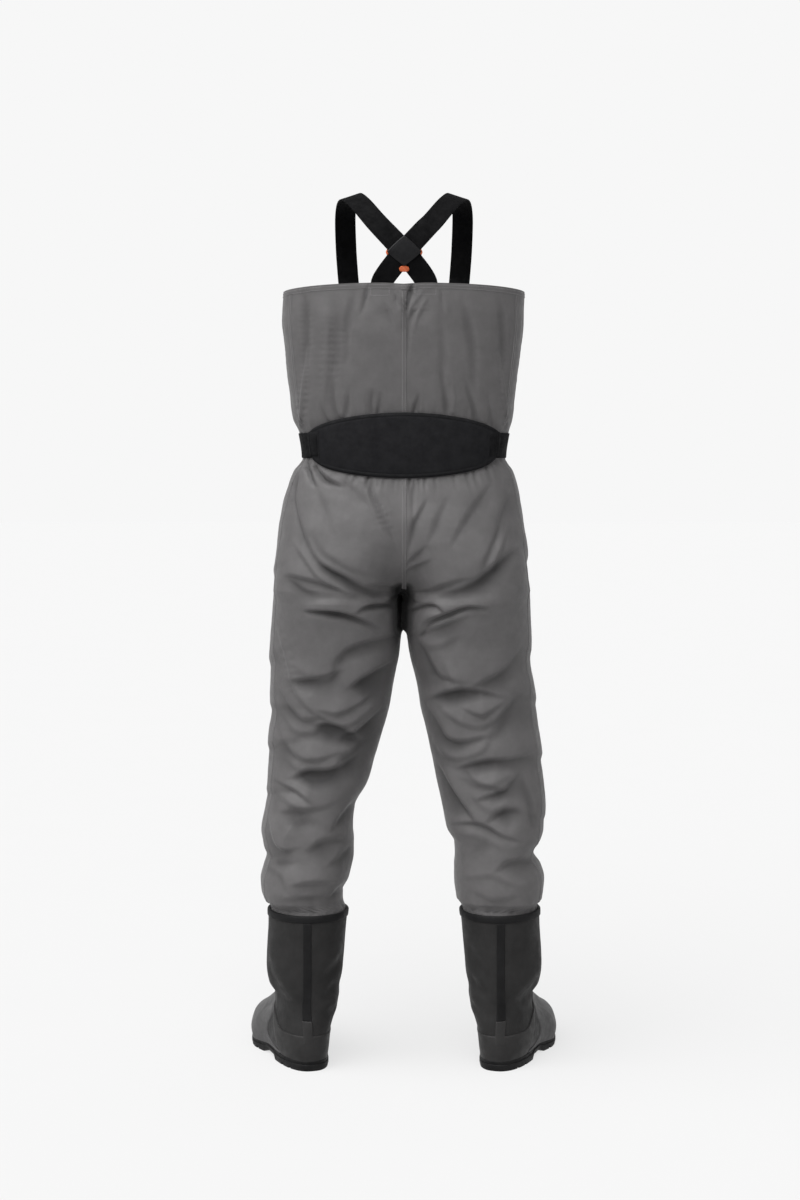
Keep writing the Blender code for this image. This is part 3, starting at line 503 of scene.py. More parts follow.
# Creases in millimetres, grouped by the side they are seen from: depth and width (a ridge has a depth
# below zero), the share of the route where they are deepest, the length of the slope under the fold in
# widths, short for a crisp leaf-shaped fold, and the route as (across, height), across being x or, on
# the left and right, y
SOFT = 2.4
LEAF = 1.35
MM = 0.001
Crease = namedtuple("Crease", "face depth width peak slope route")
SEAT_FOLDS = {
    "back": [
        (5.6, 12, 0.40, LEAF, (-143, 905), (-107, 884), (-79, 868), (-51, 857), (-16, 852)),
        (5.8, 13, 0.46, LEAF, (196, 932), (167, 908), (134, 880), (100, 862), (50, 848)),
        (3.6, 9, 0.50, LEAF, (117, 884), (89, 877), (64, 867.5), (43, 859), (6, 854)),
        (3.2, 11, 0.40, SOFT, (-158, 950), (-145, 926), (-121, 910.5), (-96.5, 898), (-60, 889)),
        (-2.6, 5, 0.50, SOFT, (-166, 950), (-152, 925), (-128, 904), (-105, 892)),
        (-2.8, 5, 0.50, SOFT, (-188, 940), (-166, 911), (-143, 886), (-110, 868), (-70, 853)),
        (3.4, 7, 0.25, SOFT, (-198, 886), (-160, 878), (-118, 866)),
        (2.8, 8, 0.40, SOFT, (-197, 876), (-173, 860), (-142, 854.5), (-90, 851)),
        (6.5, 6, 0.40, LEAF, (-168, 827), (-130, 825), (-100, 820), (-65, 806), (-38, 788)),
        (5.0, 6, 0.50, LEAF, (-81, 826), (-65, 834), (-40, 837), (-14, 834)),
        (5.0, 6, 0.50, LEAF, (10, 824), (36, 835.5), (54, 835.5), (71, 826)),
        (6.0, 6, 0.45, LEAF, (30, 784), (46, 807), (72, 820), (110, 834), (143, 832)),
        (3.5, 5, 0.60, SOFT, (-34, 842), (-14, 847)),
        (3.5, 5, 0.40, SOFT, (8, 846), (30, 842)),
        (3.2, 5, 0.25, SOFT, (-58, 1066), (-56, 1038), (-44, 1010), (-23, 965), (-8, 930)),
        (-2.2, 6, 0.30, SOFT, (-68, 1060), (-66, 1036), (-54, 1006), (-34, 962)),
        (3.0, 6, 0.45, SOFT, (36, 1014), (19, 982), (13.5, 961), (7.5, 932)),
        (2.4, 5, 0.30, SOFT, (17.5, 1050), (15.5, 1030), (16.2, 987)),
        (2.6, 5, 0.60, SOFT, (36, 940), (20, 924), (7.5, 911)),
        (2.2, 5, 0.60, SOFT, (45, 916), (24, 906), (8, 898)),
        (2.4, 10, 0.40, SOFT, (145, 1036), (110, 986), (88, 950)),
        (1.8, 10, 0.50, SOFT, (75, 1020), (60, 985), (47, 955)),
        (2.8, 8, 0.60, SOFT, (166, 968), (152, 935), (140, 908)),
        (-2.6, 6, 0.60, SOFT, (178, 965), (164, 933), (151, 905)),
        (2.2, 10, 0.40, SOFT, (188, 1030), (172, 990), (160, 950)),
        (3.0, 6, 0.30, SOFT, (-190, 1066), (-195.5, 1030), (-188, 996), (-178, 962)),
        (5.5, 5, 0.35, LEAF, (-172, 1086), (-166, 1066), (-156, 1046)),
        (5.5, 5, 0.35, LEAF, (-158, 1084), (-140, 1060), (-112, 1047)),
        (2.0, 10, 0.40, SOFT, (-150, 1030), (-138, 1000), (-126, 960)),
        (1.8, 9, 0.30, SOFT, (-105, 1052), (-86, 1034), (-70, 1018)),
        (2.0, 7, 0.50, SOFT, (-188, 990), (-180, 965), (-168, 938)),
        (2.6, 7, 0.40, SOFT, (-60, 872), (-34, 870), (-12, 864)),
    ],
}
LEG_FOLDS = {
    "back": [
        (4.6, 12, 0.55, SOFT, (-123, 712), (-112, 738), (-85, 760), (-25, 775)),
        (-2.6, 14, 0.60, SOFT, (-188, 730), (-160, 716), (-136, 718), (-118, 730)),
        (4.2, 9, 0.15, SOFT, (-195, 698), (-172, 701), (-150, 706), (-112, 718)),
        (6.2, 14, 0.30, SOFT, (-87, 690), (-64, 703), (-45, 715), (-20, 730)),
        (-2.6, 8, 0.55, SOFT, (-223, 795), (-203, 728), (-189, 682), (-154, 648), (-121, 630)),
        (5.0, 11, 0.40, SOFT, (-142, 644), (-121, 638), (-100, 644), (-74, 658), (-56, 670)),
        (-3.0, 12, 0.50, SOFT, (-136, 632), (-116, 628), (-96, 632), (-60, 654)),
        (3.8, 11, 0.60, SOFT, (-222, 680), (-205, 648), (-180, 628), (-150, 632)),
        (-2.4, 12, 0.60, SOFT, (-214, 640), (-192, 618), (-166, 616), (-148, 630)),
        (5.4, 12, 0.45, SOFT, (-155, 620), (-124, 616), (-98, 604), (-80, 592)),
        (5.0, 12, 0.50, SOFT, (-106, 596), (-82, 606), (-60, 622), (-42, 642)),
        (3.8, 11, 0.60, SOFT, (-224, 614), (-213, 580), (-185, 558), (-155, 555), (-118, 568)),
        (-2.6, 12, 0.60, SOFT, (-205, 560), (-178, 546), (-146, 544), (-116, 562)),
        (5.6, 12, 0.25, SOFT, (-190, 527), (-168, 535), (-138, 537), (-106, 544), (-80, 560)),
        (3.6, 14, 0.40, SOFT, (-110, 560), (-90, 566), (-62, 590)),
        (3.2, 6, 0.55, SOFT, (-224, 515), (-193, 501), (-170, 484)),
        (-3.0, 12, 0.70, SOFT, (-222, 498), (-198, 484), (-172, 474)),
        (2.9, 12, 0.35, SOFT, (-210, 462), (-182, 465), (-150, 468), (-120, 480)),
        (4.3, 12, 0.50, SOFT, (-124, 434), (-111, 450), (-90, 474)),
        (4.3, 14, 0.25, SOFT, (-163, 397), (-143, 407), (-115, 410), (-94, 396)),
        (3.0, 9, 0.55, SOFT, (-247, 450), (-239, 418), (-229, 400), (-211, 392), (-194, 398)),
        (-2.3, 12, 0.55, SOFT, (-236, 445), (-229, 420), (-219, 406), (-204, 402)),
        (3.2, 14, 0.60, SOFT, (-130, 366), (-111, 378), (-94, 392)),
        (3.9, 11, 0.45, SOFT, (-190, 333), (-157, 335), (-122, 333)),
        (-1.9, 14, 0.50, SOFT, (-176, 320), (-150, 322), (-122, 322)),
        (2.2, 9, 0.50, SOFT, (-128, 310), (-108, 327)),
        (1.7, 12, 0.40, SOFT, (-205, 305), (-157, 310)),
        (1.9, 12, 0.50, SOFT, (-252, 358), (-226, 346), (-205, 315)),
        (2.2, 11, 0.30, SOFT, (-226, 369), (-196, 374)),
        (1.9, 16, 0.50, SOFT, (-190, 440), (-168, 444), (-140, 432)),
        (4.6, 11, 0.55, SOFT, (108, 814), (80, 803), (56, 792), (28, 782)),
        (-2.6, 14, 0.40, SOFT, (30, 775), (52, 770), (90, 786)),
        (4.6, 12, 0.70, SOFT, (26, 766), (44, 728), (62, 704), (90, 700)),
        (-2.8, 12, 0.50, SOFT, (78, 730), (92, 700), (72, 680)),
        (5.6, 11, 0.20, SOFT, (57, 669), (92, 680), (127, 681), (172, 671)),
        (4.6, 12, 0.25, SOFT, (131, 692), (160, 705), (184, 722), (204, 748)),
        (-3.2, 12, 0.50, SOFT, (62, 660), (82, 644), (110, 631), (135, 627), (160, 640), (202, 680)),
        (4.6, 9, 0.55, SOFT, (108, 648), (128, 638), (143, 637), (170, 656)),
        (5.2, 12, 0.60, SOFT, (37, 655), (55, 624), (70, 596), (98, 587), (141, 598)),
        (-2.8, 12, 0.50, SOFT, (46, 610), (64, 578), (96, 568), (136, 582), (147, 606)),
        (5.4, 11, 0.20, SOFT, (110, 545), (145, 554), (187, 557), (222, 564)),
        (3.2, 19, 0.50, SOFT, (168, 604), (184, 640), (200, 670)),
        (-2.2, 14, 0.40, SOFT, (112, 530), (150, 522), (185, 536)),
        (4.2, 11, 0.65, SOFT, (108, 536), (128, 515), (157, 505), (180, 502), (200, 524)),
        (3.4, 9, 0.50, SOFT, (136, 487), (160, 494), (180, 502)),
        (-2.8, 14, 0.50, SOFT, (126, 498), (156, 476), (180, 486)),
        (4.0, 12, 0.45, SOFT, (153, 449), (174, 462), (196, 466), (212, 461)),
        (3.4, 8, 0.55, SOFT, (60, 540), (87, 496), (117, 456)),
        (-2.4, 12, 0.55, SOFT, (74, 540), (100, 498), (128, 462)),
        (3.9, 7, 0.60, SOFT, (84, 437), (103, 441.5), (125, 443.5), (146, 438), (171, 423.5), (203, 413)),
        (-1.9, 14, 0.50, SOFT, (100, 428), (126, 430), (150, 424), (180, 406)),
        (3.9, 12, 0.35, SOFT, (172, 362), (189, 372), (217, 373), (246, 369)),
        (2.0, 12, 0.50, SOFT, (118, 341), (150, 346), (176, 338), (200, 329)),
        (1.9, 11, 0.50, SOFT, (128, 315), (160, 303), (200, 311)),
        (1.4, 17, 0.50, SOFT, (112, 380), (140, 400), (165, 396)),
        (3.0, 11, 0.50, SOFT, (212, 520), (226, 480), (230, 440)),
    ],
    "left": [
        (3.3, 12, 0.50, SOFT, (-70, 384), (-20, 378), (40, 392)),
        (3.8, 12, 0.40, SOFT, (-70, 500), (-10, 486), (50, 500)),
        (3.6, 14, 0.50, SOFT, (-80, 590), (-20, 566), (50, 580)),
        (3.2, 14, 0.50, SOFT, (-80, 650), (-10, 640), (60, 664)),
        (2.8, 16, 0.50, SOFT, (-90, 760), (-20, 720), (60, 730)),
        (2.8, 14, 0.40, SOFT, (-70, 900), (-10, 880), (60, 890)),
    ],
    "right": [
        (3.3, 12, 0.50, SOFT, (-75, 398), (-30, 392), (30, 400)),
        (2.6, 12, 0.40, SOFT, (-60, 452), (-20, 440), (40, 452)),
        (3.8, 14, 0.50, SOFT, (-70, 560), (-10, 548), (60, 572)),
        (3.2, 14, 0.40, SOFT, (-80, 680), (-20, 650), (50, 668)),
        (2.8, 16, 0.40, SOFT, (-90, 770), (-20, 735), (60, 750)),
        (2.8, 14, 0.40, SOFT, (-60, 940), (-10, 905), (60, 900)),
    ],
}
BIB_FOLDS = {
    "back": [
        (4.6, 5, 0.35, SOFT, (15, 1400), (8.5, 1376), (4, 1352), (3.5, 1325)),
        (3.0, 6, 0.35, SOFT, (29, 1370), (15, 1347), (8.5, 1324), (7, 1285)),
        (-2.0, 5, 0.40, SOFT, (36, 1366), (24, 1345), (17, 1320)),
        (2.6, 4, 0.45, SOFT, (-22, 1390), (-15, 1372), (-9, 1356)),
        (1.8, 6, 0.40, SOFT, (-32, 1356), (-24, 1338), (-18, 1318)),
        (2.6, 5, 0.35, SOFT, (-60, 1392), (-66, 1376), (-73, 1350)),
        (2.2, 5, 0.35, SOFT, (59, 1392), (64, 1374), (69, 1350)),
        (1.6, 10, 0.50, SOFT, (-85, 1380), (-98, 1330), (-100, 1270)),
        (2.0, 12, 0.40, SOFT, (-118, 1350), (-120, 1280), (-127, 1205)),
        (-1.8, 9, 0.50, SOFT, (-134, 1350), (-134, 1280), (-140, 1200)),
        (3.0, 11, 0.45, SOFT, (-174, 1372), (-172, 1310), (-176, 1245)),
        (-2.2, 4, 0.55, SOFT, (-172, 1275), (-176.5, 1225), (-185, 1150)),
        (2.8, 11, 0.50, SOFT, (170, 1360), (173, 1300), (172, 1245)),
        (-2.2, 4, 0.55, SOFT, (169, 1275), (174, 1225), (183.5, 1150)),
        (2.4, 12, 0.50, SOFT, (105, 1360), (118, 1295), (123, 1220)),
        (1.8, 11, 0.50, SOFT, (64, 1330), (68, 1280), (65, 1230)),
        (3.0, 7, 0.70, SOFT, (66, 1240), (72, 1200), (74.5, 1174)),
        (-2.0, 6, 0.70, SOFT, (84, 1220), (86, 1190), (84, 1168)),
        (3.0, 7, 0.70, SOFT, (108, 1230), (119, 1193), (128, 1162)),
        (2.6, 5, 0.80, SOFT, (26, 1205), (20, 1187), (16, 1172)),
        (2.8, 5, 0.80, SOFT, (-55.5, 1210), (-57, 1190), (-56, 1171)),
        (2.4, 5, 0.80, SOFT, (-40, 1205), (-43, 1188), (-47, 1171)),
        (2.6, 6, 0.80, SOFT, (-96, 1215), (-99, 1190), (-103, 1166)),
        (2.8, 7, 0.70, SOFT, (-125, 1222), (-121, 1180), (-109, 1158)),
        (2.2, 5, 0.80, SOFT, (-145, 1190), (-140, 1170), (-130, 1154)),
        (2.4, 6, 0.80, SOFT, (148, 1200), (152, 1175), (156, 1152)),
    ],
    "front": [
        (2.8, 9, 0.50, SOFT, (-60, 1330), (-66, 1260), (-60, 1165)),
        (2.8, 9, 0.60, SOFT, (50, 1320), (58, 1250), (62, 1165)),
        (2.4, 10, 0.50, SOFT, (-120, 1340), (-128, 1260), (-124, 1170)),
        (2.4, 10, 0.50, SOFT, (125, 1340), (130, 1260), (122, 1170)),
        (4.4, 8, 0.50, SOFT, (-120, 905), (-80, 880), (-20, 855)),
        (4.4, 8, 0.50, SOFT, (115, 910), (78, 884), (20, 855)),
        (3.2, 8, 0.50, SOFT, (-60, 950), (-36, 910), (-12, 875)),
        (3.2, 8, 0.50, SOFT, (60, 955), (36, 912), (12, 875)),
    ],
    "left": [
        (2.6, 12, 0.50, SOFT, (-30, 1350), (-20, 1270), (-30, 1190)),
        (2.6, 10, 0.60, SOFT, (40, 1330), (30, 1250), (40, 1170)),
    ],
    "right": [
        (2.6, 12, 0.50, SOFT, (-30, 1350), (-20, 1280), (-30, 1190)),
        (2.6, 10, 0.60, SOFT, (40, 1320), (30, 1250), (40, 1170)),
    ],
}
# Folds of the legs repeat at the front, turned round, lower by this many millimetres and shallower
FRONT_DROP = 14
FRONT_GAIN = 0.8
# Directions from which creases are seen, and the axis across them
FACES = {
    "back": (Vector((0, -1, 0)), 0),
    "front": (Vector((0, 1, 0)), 0),
    "left": (Vector((-1, 0, 0)), 1),
    "right": (Vector((1, 0, 0)), 1),
}
FACE_FADE = (0.08, 0.50)
# A fold's section in widths of its trough: the ridge over it, and that ridge's height and length upwards
RIDGE_PLACE = 1.15
RIDGE_HEIGHT = 0.55
RIDGE_LENGTH = 2.7
CREASE_GAIN = 1.48
CREASE_SPREAD = 1.05
CREASE_EXTEND = 0.22
LEAF_EXTEND = 0.08
SIDE_GAIN = 0.5
CREASE_REACH = 8.0
CREASE_STEPS = 28
CREASE_BLEND = 0.30
CREASE_TURN = 2.5
PEAK_RANGE = (0.35, 0.65)
END_WIDTH = 0.55

# Gathers under and over the belt and pad and over the boots' collars: depths, reach up or down, the
# length and swing of their swell and pitches round
GATHER_DEPTH = 0.0027
GATHER_OVER = 0.0009
GATHER_REACH = 0.020
GATHER_SWELL = 0.13
GATHER_SWING = 0.4
GATHER_PITCHES = ((0.0210, 0.4), (0.0340, 2.1), (0.0130, 4.4))
COLLAR_DEPTH = 0.0013
COLLAR_REACH = 0.011
COLLAR_PINCH = 0.6
COLLAR_NEAR = 0.001
COLLAR_FADE = 0.006
UNEVEN_DEPTH = 0.0008
UNEVEN_SCALE = Vector((24, 24, 30))
PUCKER_DEPTH = 0.0003
PUCKER_SCALE = Vector((95, 95, 70))

# Boot creases on the shaft, all seen from the back, by the side of the body
BOOT_FOLDS = {
    -1: [
        (3.6, 17, 0.50, SOFT, (-256, 196), (-243, 162), (-222, 122)),
        (-2.4, 16, 0.45, SOFT, (-243, 222), (-224, 176), (-202, 132)),
        (4.0, 14, 0.55, SOFT, (-113, 196), (-126, 176), (-142, 158)),
        (-2.4, 14, 0.50, SOFT, (-114, 226), (-130, 202), (-148, 178)),
        (5.0, 12, 0.40, SOFT, (-112, 148), (-124, 140), (-142, 128)),
        (-3.2, 12, 0.40, SOFT, (-116, 128), (-128, 120), (-142, 112)),
        (3.0, 12, 0.50, SOFT, (-116, 102), (-130, 94), (-150, 90)),
    ],
    1: [
        (3.6, 17, 0.50, SOFT, (254, 160), (240, 140), (214, 122)),
        (-2.6, 16, 0.50, SOFT, (254, 210), (236, 178), (208, 146)),
        (3.4, 14, 0.50, SOFT, (114, 218), (128, 194), (146, 172)),
        (5.2, 12, 0.40, SOFT, (108, 156), (120, 150), (140, 142)),
        (-3.2, 12, 0.40, SOFT, (110, 134), (124, 130), (142, 126)),
        (3.0, 12, 0.50, SOFT, (114, 106), (130, 98), (152, 94)),
    ],
}

# Curves


def smooth(value):
    """Eases from 0 to 1 as value goes from 0 to 1."""
    value = np.clip(value, 0.0, 1.0)
    return value * value * (3 - 2 * value)


def through(rows, wanted):
    """Values at the wanted places on a smooth curve with no overshoot; a row is a place and its values."""
    table = np.array(rows, float)
    places, values = table[:, 0], table[:, 1:]
    steps = np.diff(places)[:, None]
    slopes = np.diff(values, axis=0) / steps
    before, after = slopes[:-1], slopes[1:]
    same = before * after > 0
    heavy, light = 2 * steps[1:] + steps[:-1], steps[1:] + 2 * steps[:-1]
    parts = heavy / np.where(same, before, 1) + light / np.where(same, after, 1)
    inner = np.where(same, (heavy + light) / np.where(same, parts, 1), 0)
    turns = np.vstack([slopes[:1], inner, slopes[-1:]])
    wanted = np.clip(np.asarray(wanted, float), places[0], places[-1])
    i = np.clip(np.searchsorted(places, wanted) - 1, 0, len(places) - 2)
    step = steps[i]
    u = (wanted - places[i])[..., None] / step
    u2, u3 = u * u, u**3
    start = (2 * u3 - 3 * u2 + 1) * values[i] + (u3 - 2 * u2 + u) * step * turns[i]
    return start + (3 * u2 - 2 * u3) * values[i + 1] + (u3 - u2) * step * turns[i + 1]


def columns_of(rows, wanted):
    return np.moveaxis(through(rows, wanted), -1, 0)


def curve_through(rows, count):
    """Evenly spread values on a smooth curve through the rows, each a sequence of numbers."""
    table = np.array(rows, float)
    table = np.vstack([2 * table[0] - table[1], table, 2 * table[-1] - table[-2]])
    place = np.linspace(0, len(rows) - 1, count)
    i = np.minimum(place.astype(int), len(rows) - 2)
    u = (place - i)[:, None]
    a, b, c, d = table[i], table[i + 1], table[i + 2], table[i + 3]
    slope_b, slope_c = (c - a) / 2, (d - b) / 2
    u2, u3 = u * u, u**3
    start = (2 * u3 - 3 * u2 + 1) * b + (u3 - 2 * u2 + u) * slope_b
    return start + (3 * u2 - 2 * u3) * c + (u3 - u2) * slope_c


def rounded(angle, power):
    """Unit outline: angle 0 is the back, a quarter turn the outer side, half a turn the front."""
    side, fore = np.sin(angle), -np.cos(angle)
    reach = (np.abs(side) ** power + np.abs(fore) ** power) ** (-1 / power)
    return side * reach, fore * reach


def unit(vectors):
    return vectors / np.maximum(np.linalg.norm(vectors, axis=-1, keepdims=True), 1e-12)


def spaced(lengths):
    return np.concatenate([[0.0], np.cumsum(lengths)])


def round_angles(count):
    return np.arange(count) * 2 * math.pi / count


def turning_place(past, low, high):
    """Where the test past turns true between low and high, by halving."""
    for _ in range(HALVINGS):
        middle = (low + high) / 2
        beyond = past(middle)
        low, high = np.where(beyond, low, middle), np.where(beyond, middle, high)
    return low


# Meshes


def mesh_object(name, points, faces, uvs, finish, sharp=SHARP):
    """A piece with its finish, its points given in the table frame."""
    mesh = bpy.data.meshes.new(name)
    placed = np.asarray(points, float).reshape(-1, 3) + np.array(SHIFT)
    mesh.from_pydata(placed.tolist(), [], faces)
    layer = mesh.uv_layers.new(name="metres")
    layer.data.foreach_set("uv", np.asarray(uvs, np.float32).ravel())
    mesh.shade_smooth()
    mesh.set_sharp_from_angle(angle=math.radians(sharp))
    made = bpy.data.objects.new(name, mesh)
    bpy.context.scene.collection.objects.link(made)
    mesh.materials.append(look(finish))
    return made


def settle(made, *nodes):
    """The piece rides on the body and stands for the CAD nodes named."""
    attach(made, "root")
    if nodes:
        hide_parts(*nodes)
    return made


def thicken(made, wall):
    """Gives a sheet a wall, inwards from its outside."""
    added = made.modifiers.new("wall", "SOLIDIFY")
    added.thickness = wall
    added.offset = -1


def grid_faces(numbers, along, around, flip=False):
    """Faces and their UVs over a grid of point numbers, with the lengths along and around it."""
    faces, uvs = [], []
    for s in range(len(numbers) - 1):
        here, there = numbers[s], numbers[s + 1]
        for k in range(len(here) - 1):
            corners = [
                (here[k], (around[k], along[s])),
                (here[k + 1], (around[k + 1], along[s])),
                (there[k + 1], (around[k + 1], along[s + 1])),
                (there[k], (around[k], along[s + 1])),
            ]
            if flip:
                corners.reverse()
            faces.append(tuple(number for number, _ in corners))
            uvs += [uv for _, uv in corners]
    return faces, uvs


def grid_lengths(points):
    """Mean lengths along and around a grid of points, summed from its first corner."""
    along = np.linalg.norm(np.diff(points, axis=0), axis=-1).mean(axis=1)
    around = np.linalg.norm(np.diff(points, axis=1), axis=-1).mean(axis=0)
    return spaced(along), spaced(around)


def loft(name, sections, finish, ring=True, loop=False, caps=True, flip=False, sharp=SHARP, extra=()):
    """A surface through sections of equal length; ring closes each one, loop joins the last to the first."""
    sections = np.asarray(sections, float)
    count, size = sections.shape[:2]
    numbers = np.arange(count * size).reshape(count, size)
    if ring:
        numbers = np.hstack([numbers, numbers[:, :1]])
    if loop:
        numbers = np.vstack([numbers, numbers[:1]])
    flat = sections.reshape(-1, 3)
    along, around = grid_lengths(flat[numbers])
    faces, uvs = grid_faces(numbers.tolist(), along, around, flip)
    ends = list(extra)
    if caps and ring and not loop:
        ends += [tuple(range(size))[::-1], tuple(range((count - 1) * size, count * size))]
    for end in ends:
        faces.append(end[::-1] if flip else end)
        uvs += [(0.0, 0.0)] * len(end)
    return mesh_object(name, flat, faces, uvs, finish, sharp)


def skin(name, points, finish, side, *nodes):
    """An open sheet, with its faces turned on the left side, standing for the nodes named."""
    return settle(loft(name, points, finish, ring=False, caps=False, flip=side < 0), *nodes)


def creases_of(face, rows):
    return [Crease(face, *row[:4], row[4:]) for row in rows]


def all_creases(table):
    return [crease for face, rows in table.items() for crease in creases_of(face, rows)]


def crease_lift(points, normals, creases, folded=True):
    """How far each point moves out along its normal, over the creases near it; folded ones overhang."""
    lift = np.zeros(len(points))
    for crease in creases:
        facing, axis = FACES[crease.face]
        weight = smooth((normals @ np.array(facing) - FACE_FADE[0]) / (FACE_FADE[1] - FACE_FADE[0]))
        if axis == 1:
            weight = weight * (points[:, 0] * facing.x > 0)
        drawn_out = CREASE_EXTEND if crease.slope > LEAF else LEAF_EXTEND
        route = curve_through(extended(np.array(crease.route) * MM, drawn_out), CREASE_STEPS)
        depth = CREASE_GAIN * crease.depth * MM * (SIDE_GAIN if axis == 1 else 1.0)
        peak = np.clip(crease.peak, *PEAK_RANGE)
        width = CREASE_SPREAD * crease.width * MM
        place = points[:, [axis, 2]]
        low = route.min(axis=0) - CREASE_REACH * width
        high = route.max(axis=0) + CREASE_REACH * width
        near = np.flatnonzero((weight > 0) & (place > low).all(axis=1) & (place < high).all(axis=1))
        start, step = route[:-1], np.diff(route, axis=0)
        share = ((place[near, None] - start) * step).sum(axis=-1) / (step**2).sum(axis=-1)
        share = np.clip(share, 0, 1)
        offset = place[near, None] - start - share[..., None] * step
        distance = np.linalg.norm(offset, axis=-1)
        nearest = distance.min(axis=1)
        weigh = np.exp((nearest[:, None] - distance) / (CREASE_BLEND * width))
        weigh = weigh / weigh.sum(axis=1, keepdims=True)
        turned = math.copysign(CREASE_TURN, crease.depth)
        upper = 0.5 + 0.5 * np.tanh(turned * offset[..., 1] / np.maximum(distance, 1e-6))
        above = (weigh * upper).sum(axis=1)
        along = (weigh * (np.arange(len(step)) + share)).sum(axis=1) / len(step)
        taper = smooth(along / peak) * smooth((1 - along) / (1 - peak))
        ratio = nearest / (width * (END_WIDTH + (1 - END_WIDTH) * taper))
        if folded:
            section = above * fold_over(ratio) - (1 - above) * np.exp(-((ratio / crease.slope) ** 2))
        else:
            section = -np.exp(-(ratio**2))
        lift[near] += depth * taper * weight[near] * section
    return lift


def extended(points, share):
    """A route with both ends drawn out by a share of its length, so that a fold runs out slowly."""
    length = np.linalg.norm(np.diff(points, axis=0), axis=1).sum()
    first = points[0] + unit(points[0] - points[1]) * share * length
    last = points[-1] + unit(points[-1] - points[-2]) * share * length
    return np.vstack([first, points, last])


def fold_over(ratio):
    """The section of a fold above its trough: a steep underside up to a ridge that fades out upwards."""
    steep = -1 + (1 + RIDGE_HEIGHT) * smooth(ratio / RIDGE_PLACE)
    fading = RIDGE_HEIGHT * np.exp(-((np.maximum(ratio - RIDGE_PLACE, 0) / RIDGE_LENGTH) ** 2))
    return np.where(ratio < RIDGE_PLACE, steep, fading)


def noise_lift(points, depth, scale):
    return depth * np.array([noise.noise(Vector(point * np.array(scale))) for point in points])


# Shell of bib, seat and legs


def torso_points(angle, z):
    left, right = columns_of(TORSO_OUTLINE, z)
    back, front, power, cleft = columns_of(TORSO_DEPTH, z)
    side, fore = rounded(angle, power)
    x = side * np.where(side > 0, right, left)
    y = fore * np.where(fore > 0, front, back)
    y = y * (1 - cleft * np.exp(-((x / CLEFT_WIDTH) ** 2)))
    return np.stack([x, y, z + 0 * x], axis=-1)


def torso_normal(angle, z):
    along = torso_points(angle + ANGLE_STEP, z) - torso_points(angle - ANGLE_STEP, z)
    return unit(np.stack([along[..., 1], -along[..., 0], 0 * along[..., 0]], axis=-1))


def bib_top(angle):
    """Height of the bib's edge: raised at the back and the front, with a small dip between the braces."""
    side, fore = rounded(angle, BIB_POWER)
    end = np.where(fore > 0, BIB_TOP_FRONT, BIB_TOP_BACK)
    dip = BIB_DIP * np.exp(-((side * BIB_HALF / BIB_DIP_WIDTH) ** 2)) * (fore < 0)
    return BIB_TOP_SIDE + (end - BIB_TOP_SIDE) * fore**2 - dip


def ring_angles():
    """Angles round the body, closer together at the back, where most creases lie."""
    even = round_angles(TORSO_COLUMNS)
    return even - CROWDING * np.sin(even)


def torso_grid():
    angle = ring_angles()
    top = bib_top(angle)
    hem = top - np.array(HEM_ROWS)[:, None]
    share = np.linspace(0, 1, TORSO_ROWS + 1)[1:, None]
    z = np.vstack([hem, hem[-1] + (FORK_Z - hem[-1]) * share])
    return torso_points(np.broadcast_to(angle, z.shape), z)


def leg_angles(share):
    """Angles round a leg, gathered at the fork like the seat's points above it, then evenly spread."""
    spread = (LEG_SPREAD_START + (LEG_SPREAD_END - LEG_SPREAD_START) * share)[:, None]
    ease = (LEG_EASE_START + (1 - LEG_EASE_START) * share)[:, None]
    turn = 2 * ring_angles()[:HALF_COLUMNS] / math.pi - 1
    outer = math.pi / 2 * (1 + turn) + np.sign(turn) * np.abs(turn) ** ease * spread
    step = (math.pi - 2 * spread) / (CROTCH_COLUMNS + 1)
    inner = math.pi + spread + step * np.arange(1, CROTCH_COLUMNS + 1)
    return np.hstack([outer, inner])


def leg_points(side, z):
    angle = leg_angles(through(LEG_SPREAD, z)[:, 0])
    left_outer, left_inner, right_inner, right_outer = columns_of(LEG_OUTLINE, z)
    inner, outer = (right_inner, right_outer) if side > 0 else (left_inner, left_outer)
    back, front = (depth[:, None] for depth in columns_of(LEG_DEPTH, z))
    middle, half = ((inner + outer) / 2)[:, None], ((outer - inner) / 2)[:, None]
    across, fore = rounded(angle, LEG_POWER)
    y = fore * np.where(fore > 0, front, back)
    return np.stack([side * (middle + across * half), y, z[:, None] + 0 * y], axis=-1)


def cuff_ring(side, level, rise):
    """A ring of the boot's own form, in by its wall and a clearance, for the end of the leg inside it."""
    angle = leg_angles(np.array([1.0]))[0]
    ring = boot_local(np.full(angle.shape, float(level)), angle)
    along = boot_local(np.full(angle.shape, float(level)), angle + ANGLE_STEP) - ring
    normal = unit(np.stack([along[:, 1], -along[:, 0], 0 * along[:, 0]], axis=-1))
    ring = ring - normal * (BOOT_WALL + SLEEVE_GAP)
    return boot_place(ring, side) + np.array((0, 0, rise))


def leg_grid(side, fork):
    """Rings down one leg, from the fork's own loop to the cuff inside the boot."""
    z = np.linspace(LEG_START, LEG_END, round((LEG_START - LEG_END) / LEG_ROW) + 1)
    leg = leg_points(side, z)
    high = cuff_ring(side, COLLAR_LEVEL, CUFF_RISE)
    low = cuff_ring(side, CUFF_LEVEL, GAP)
    start = [fork + (leg[0] - fork) * share for share in np.linspace(0, 1, FORK_ROWS + 2)[1:-1]]
    turning = smooth(np.linspace(0, 1, CUFF_TURN_ROWS + 1)[1:])
    turn = [leg[-1] + (high - leg[-1]) * share for share in turning]
    cuff = [high + (low - high) * share for share in np.linspace(0, 1, CUFF_ROWS + 1)[1:]]
    return np.concatenate([start, leg, turn, cuff])


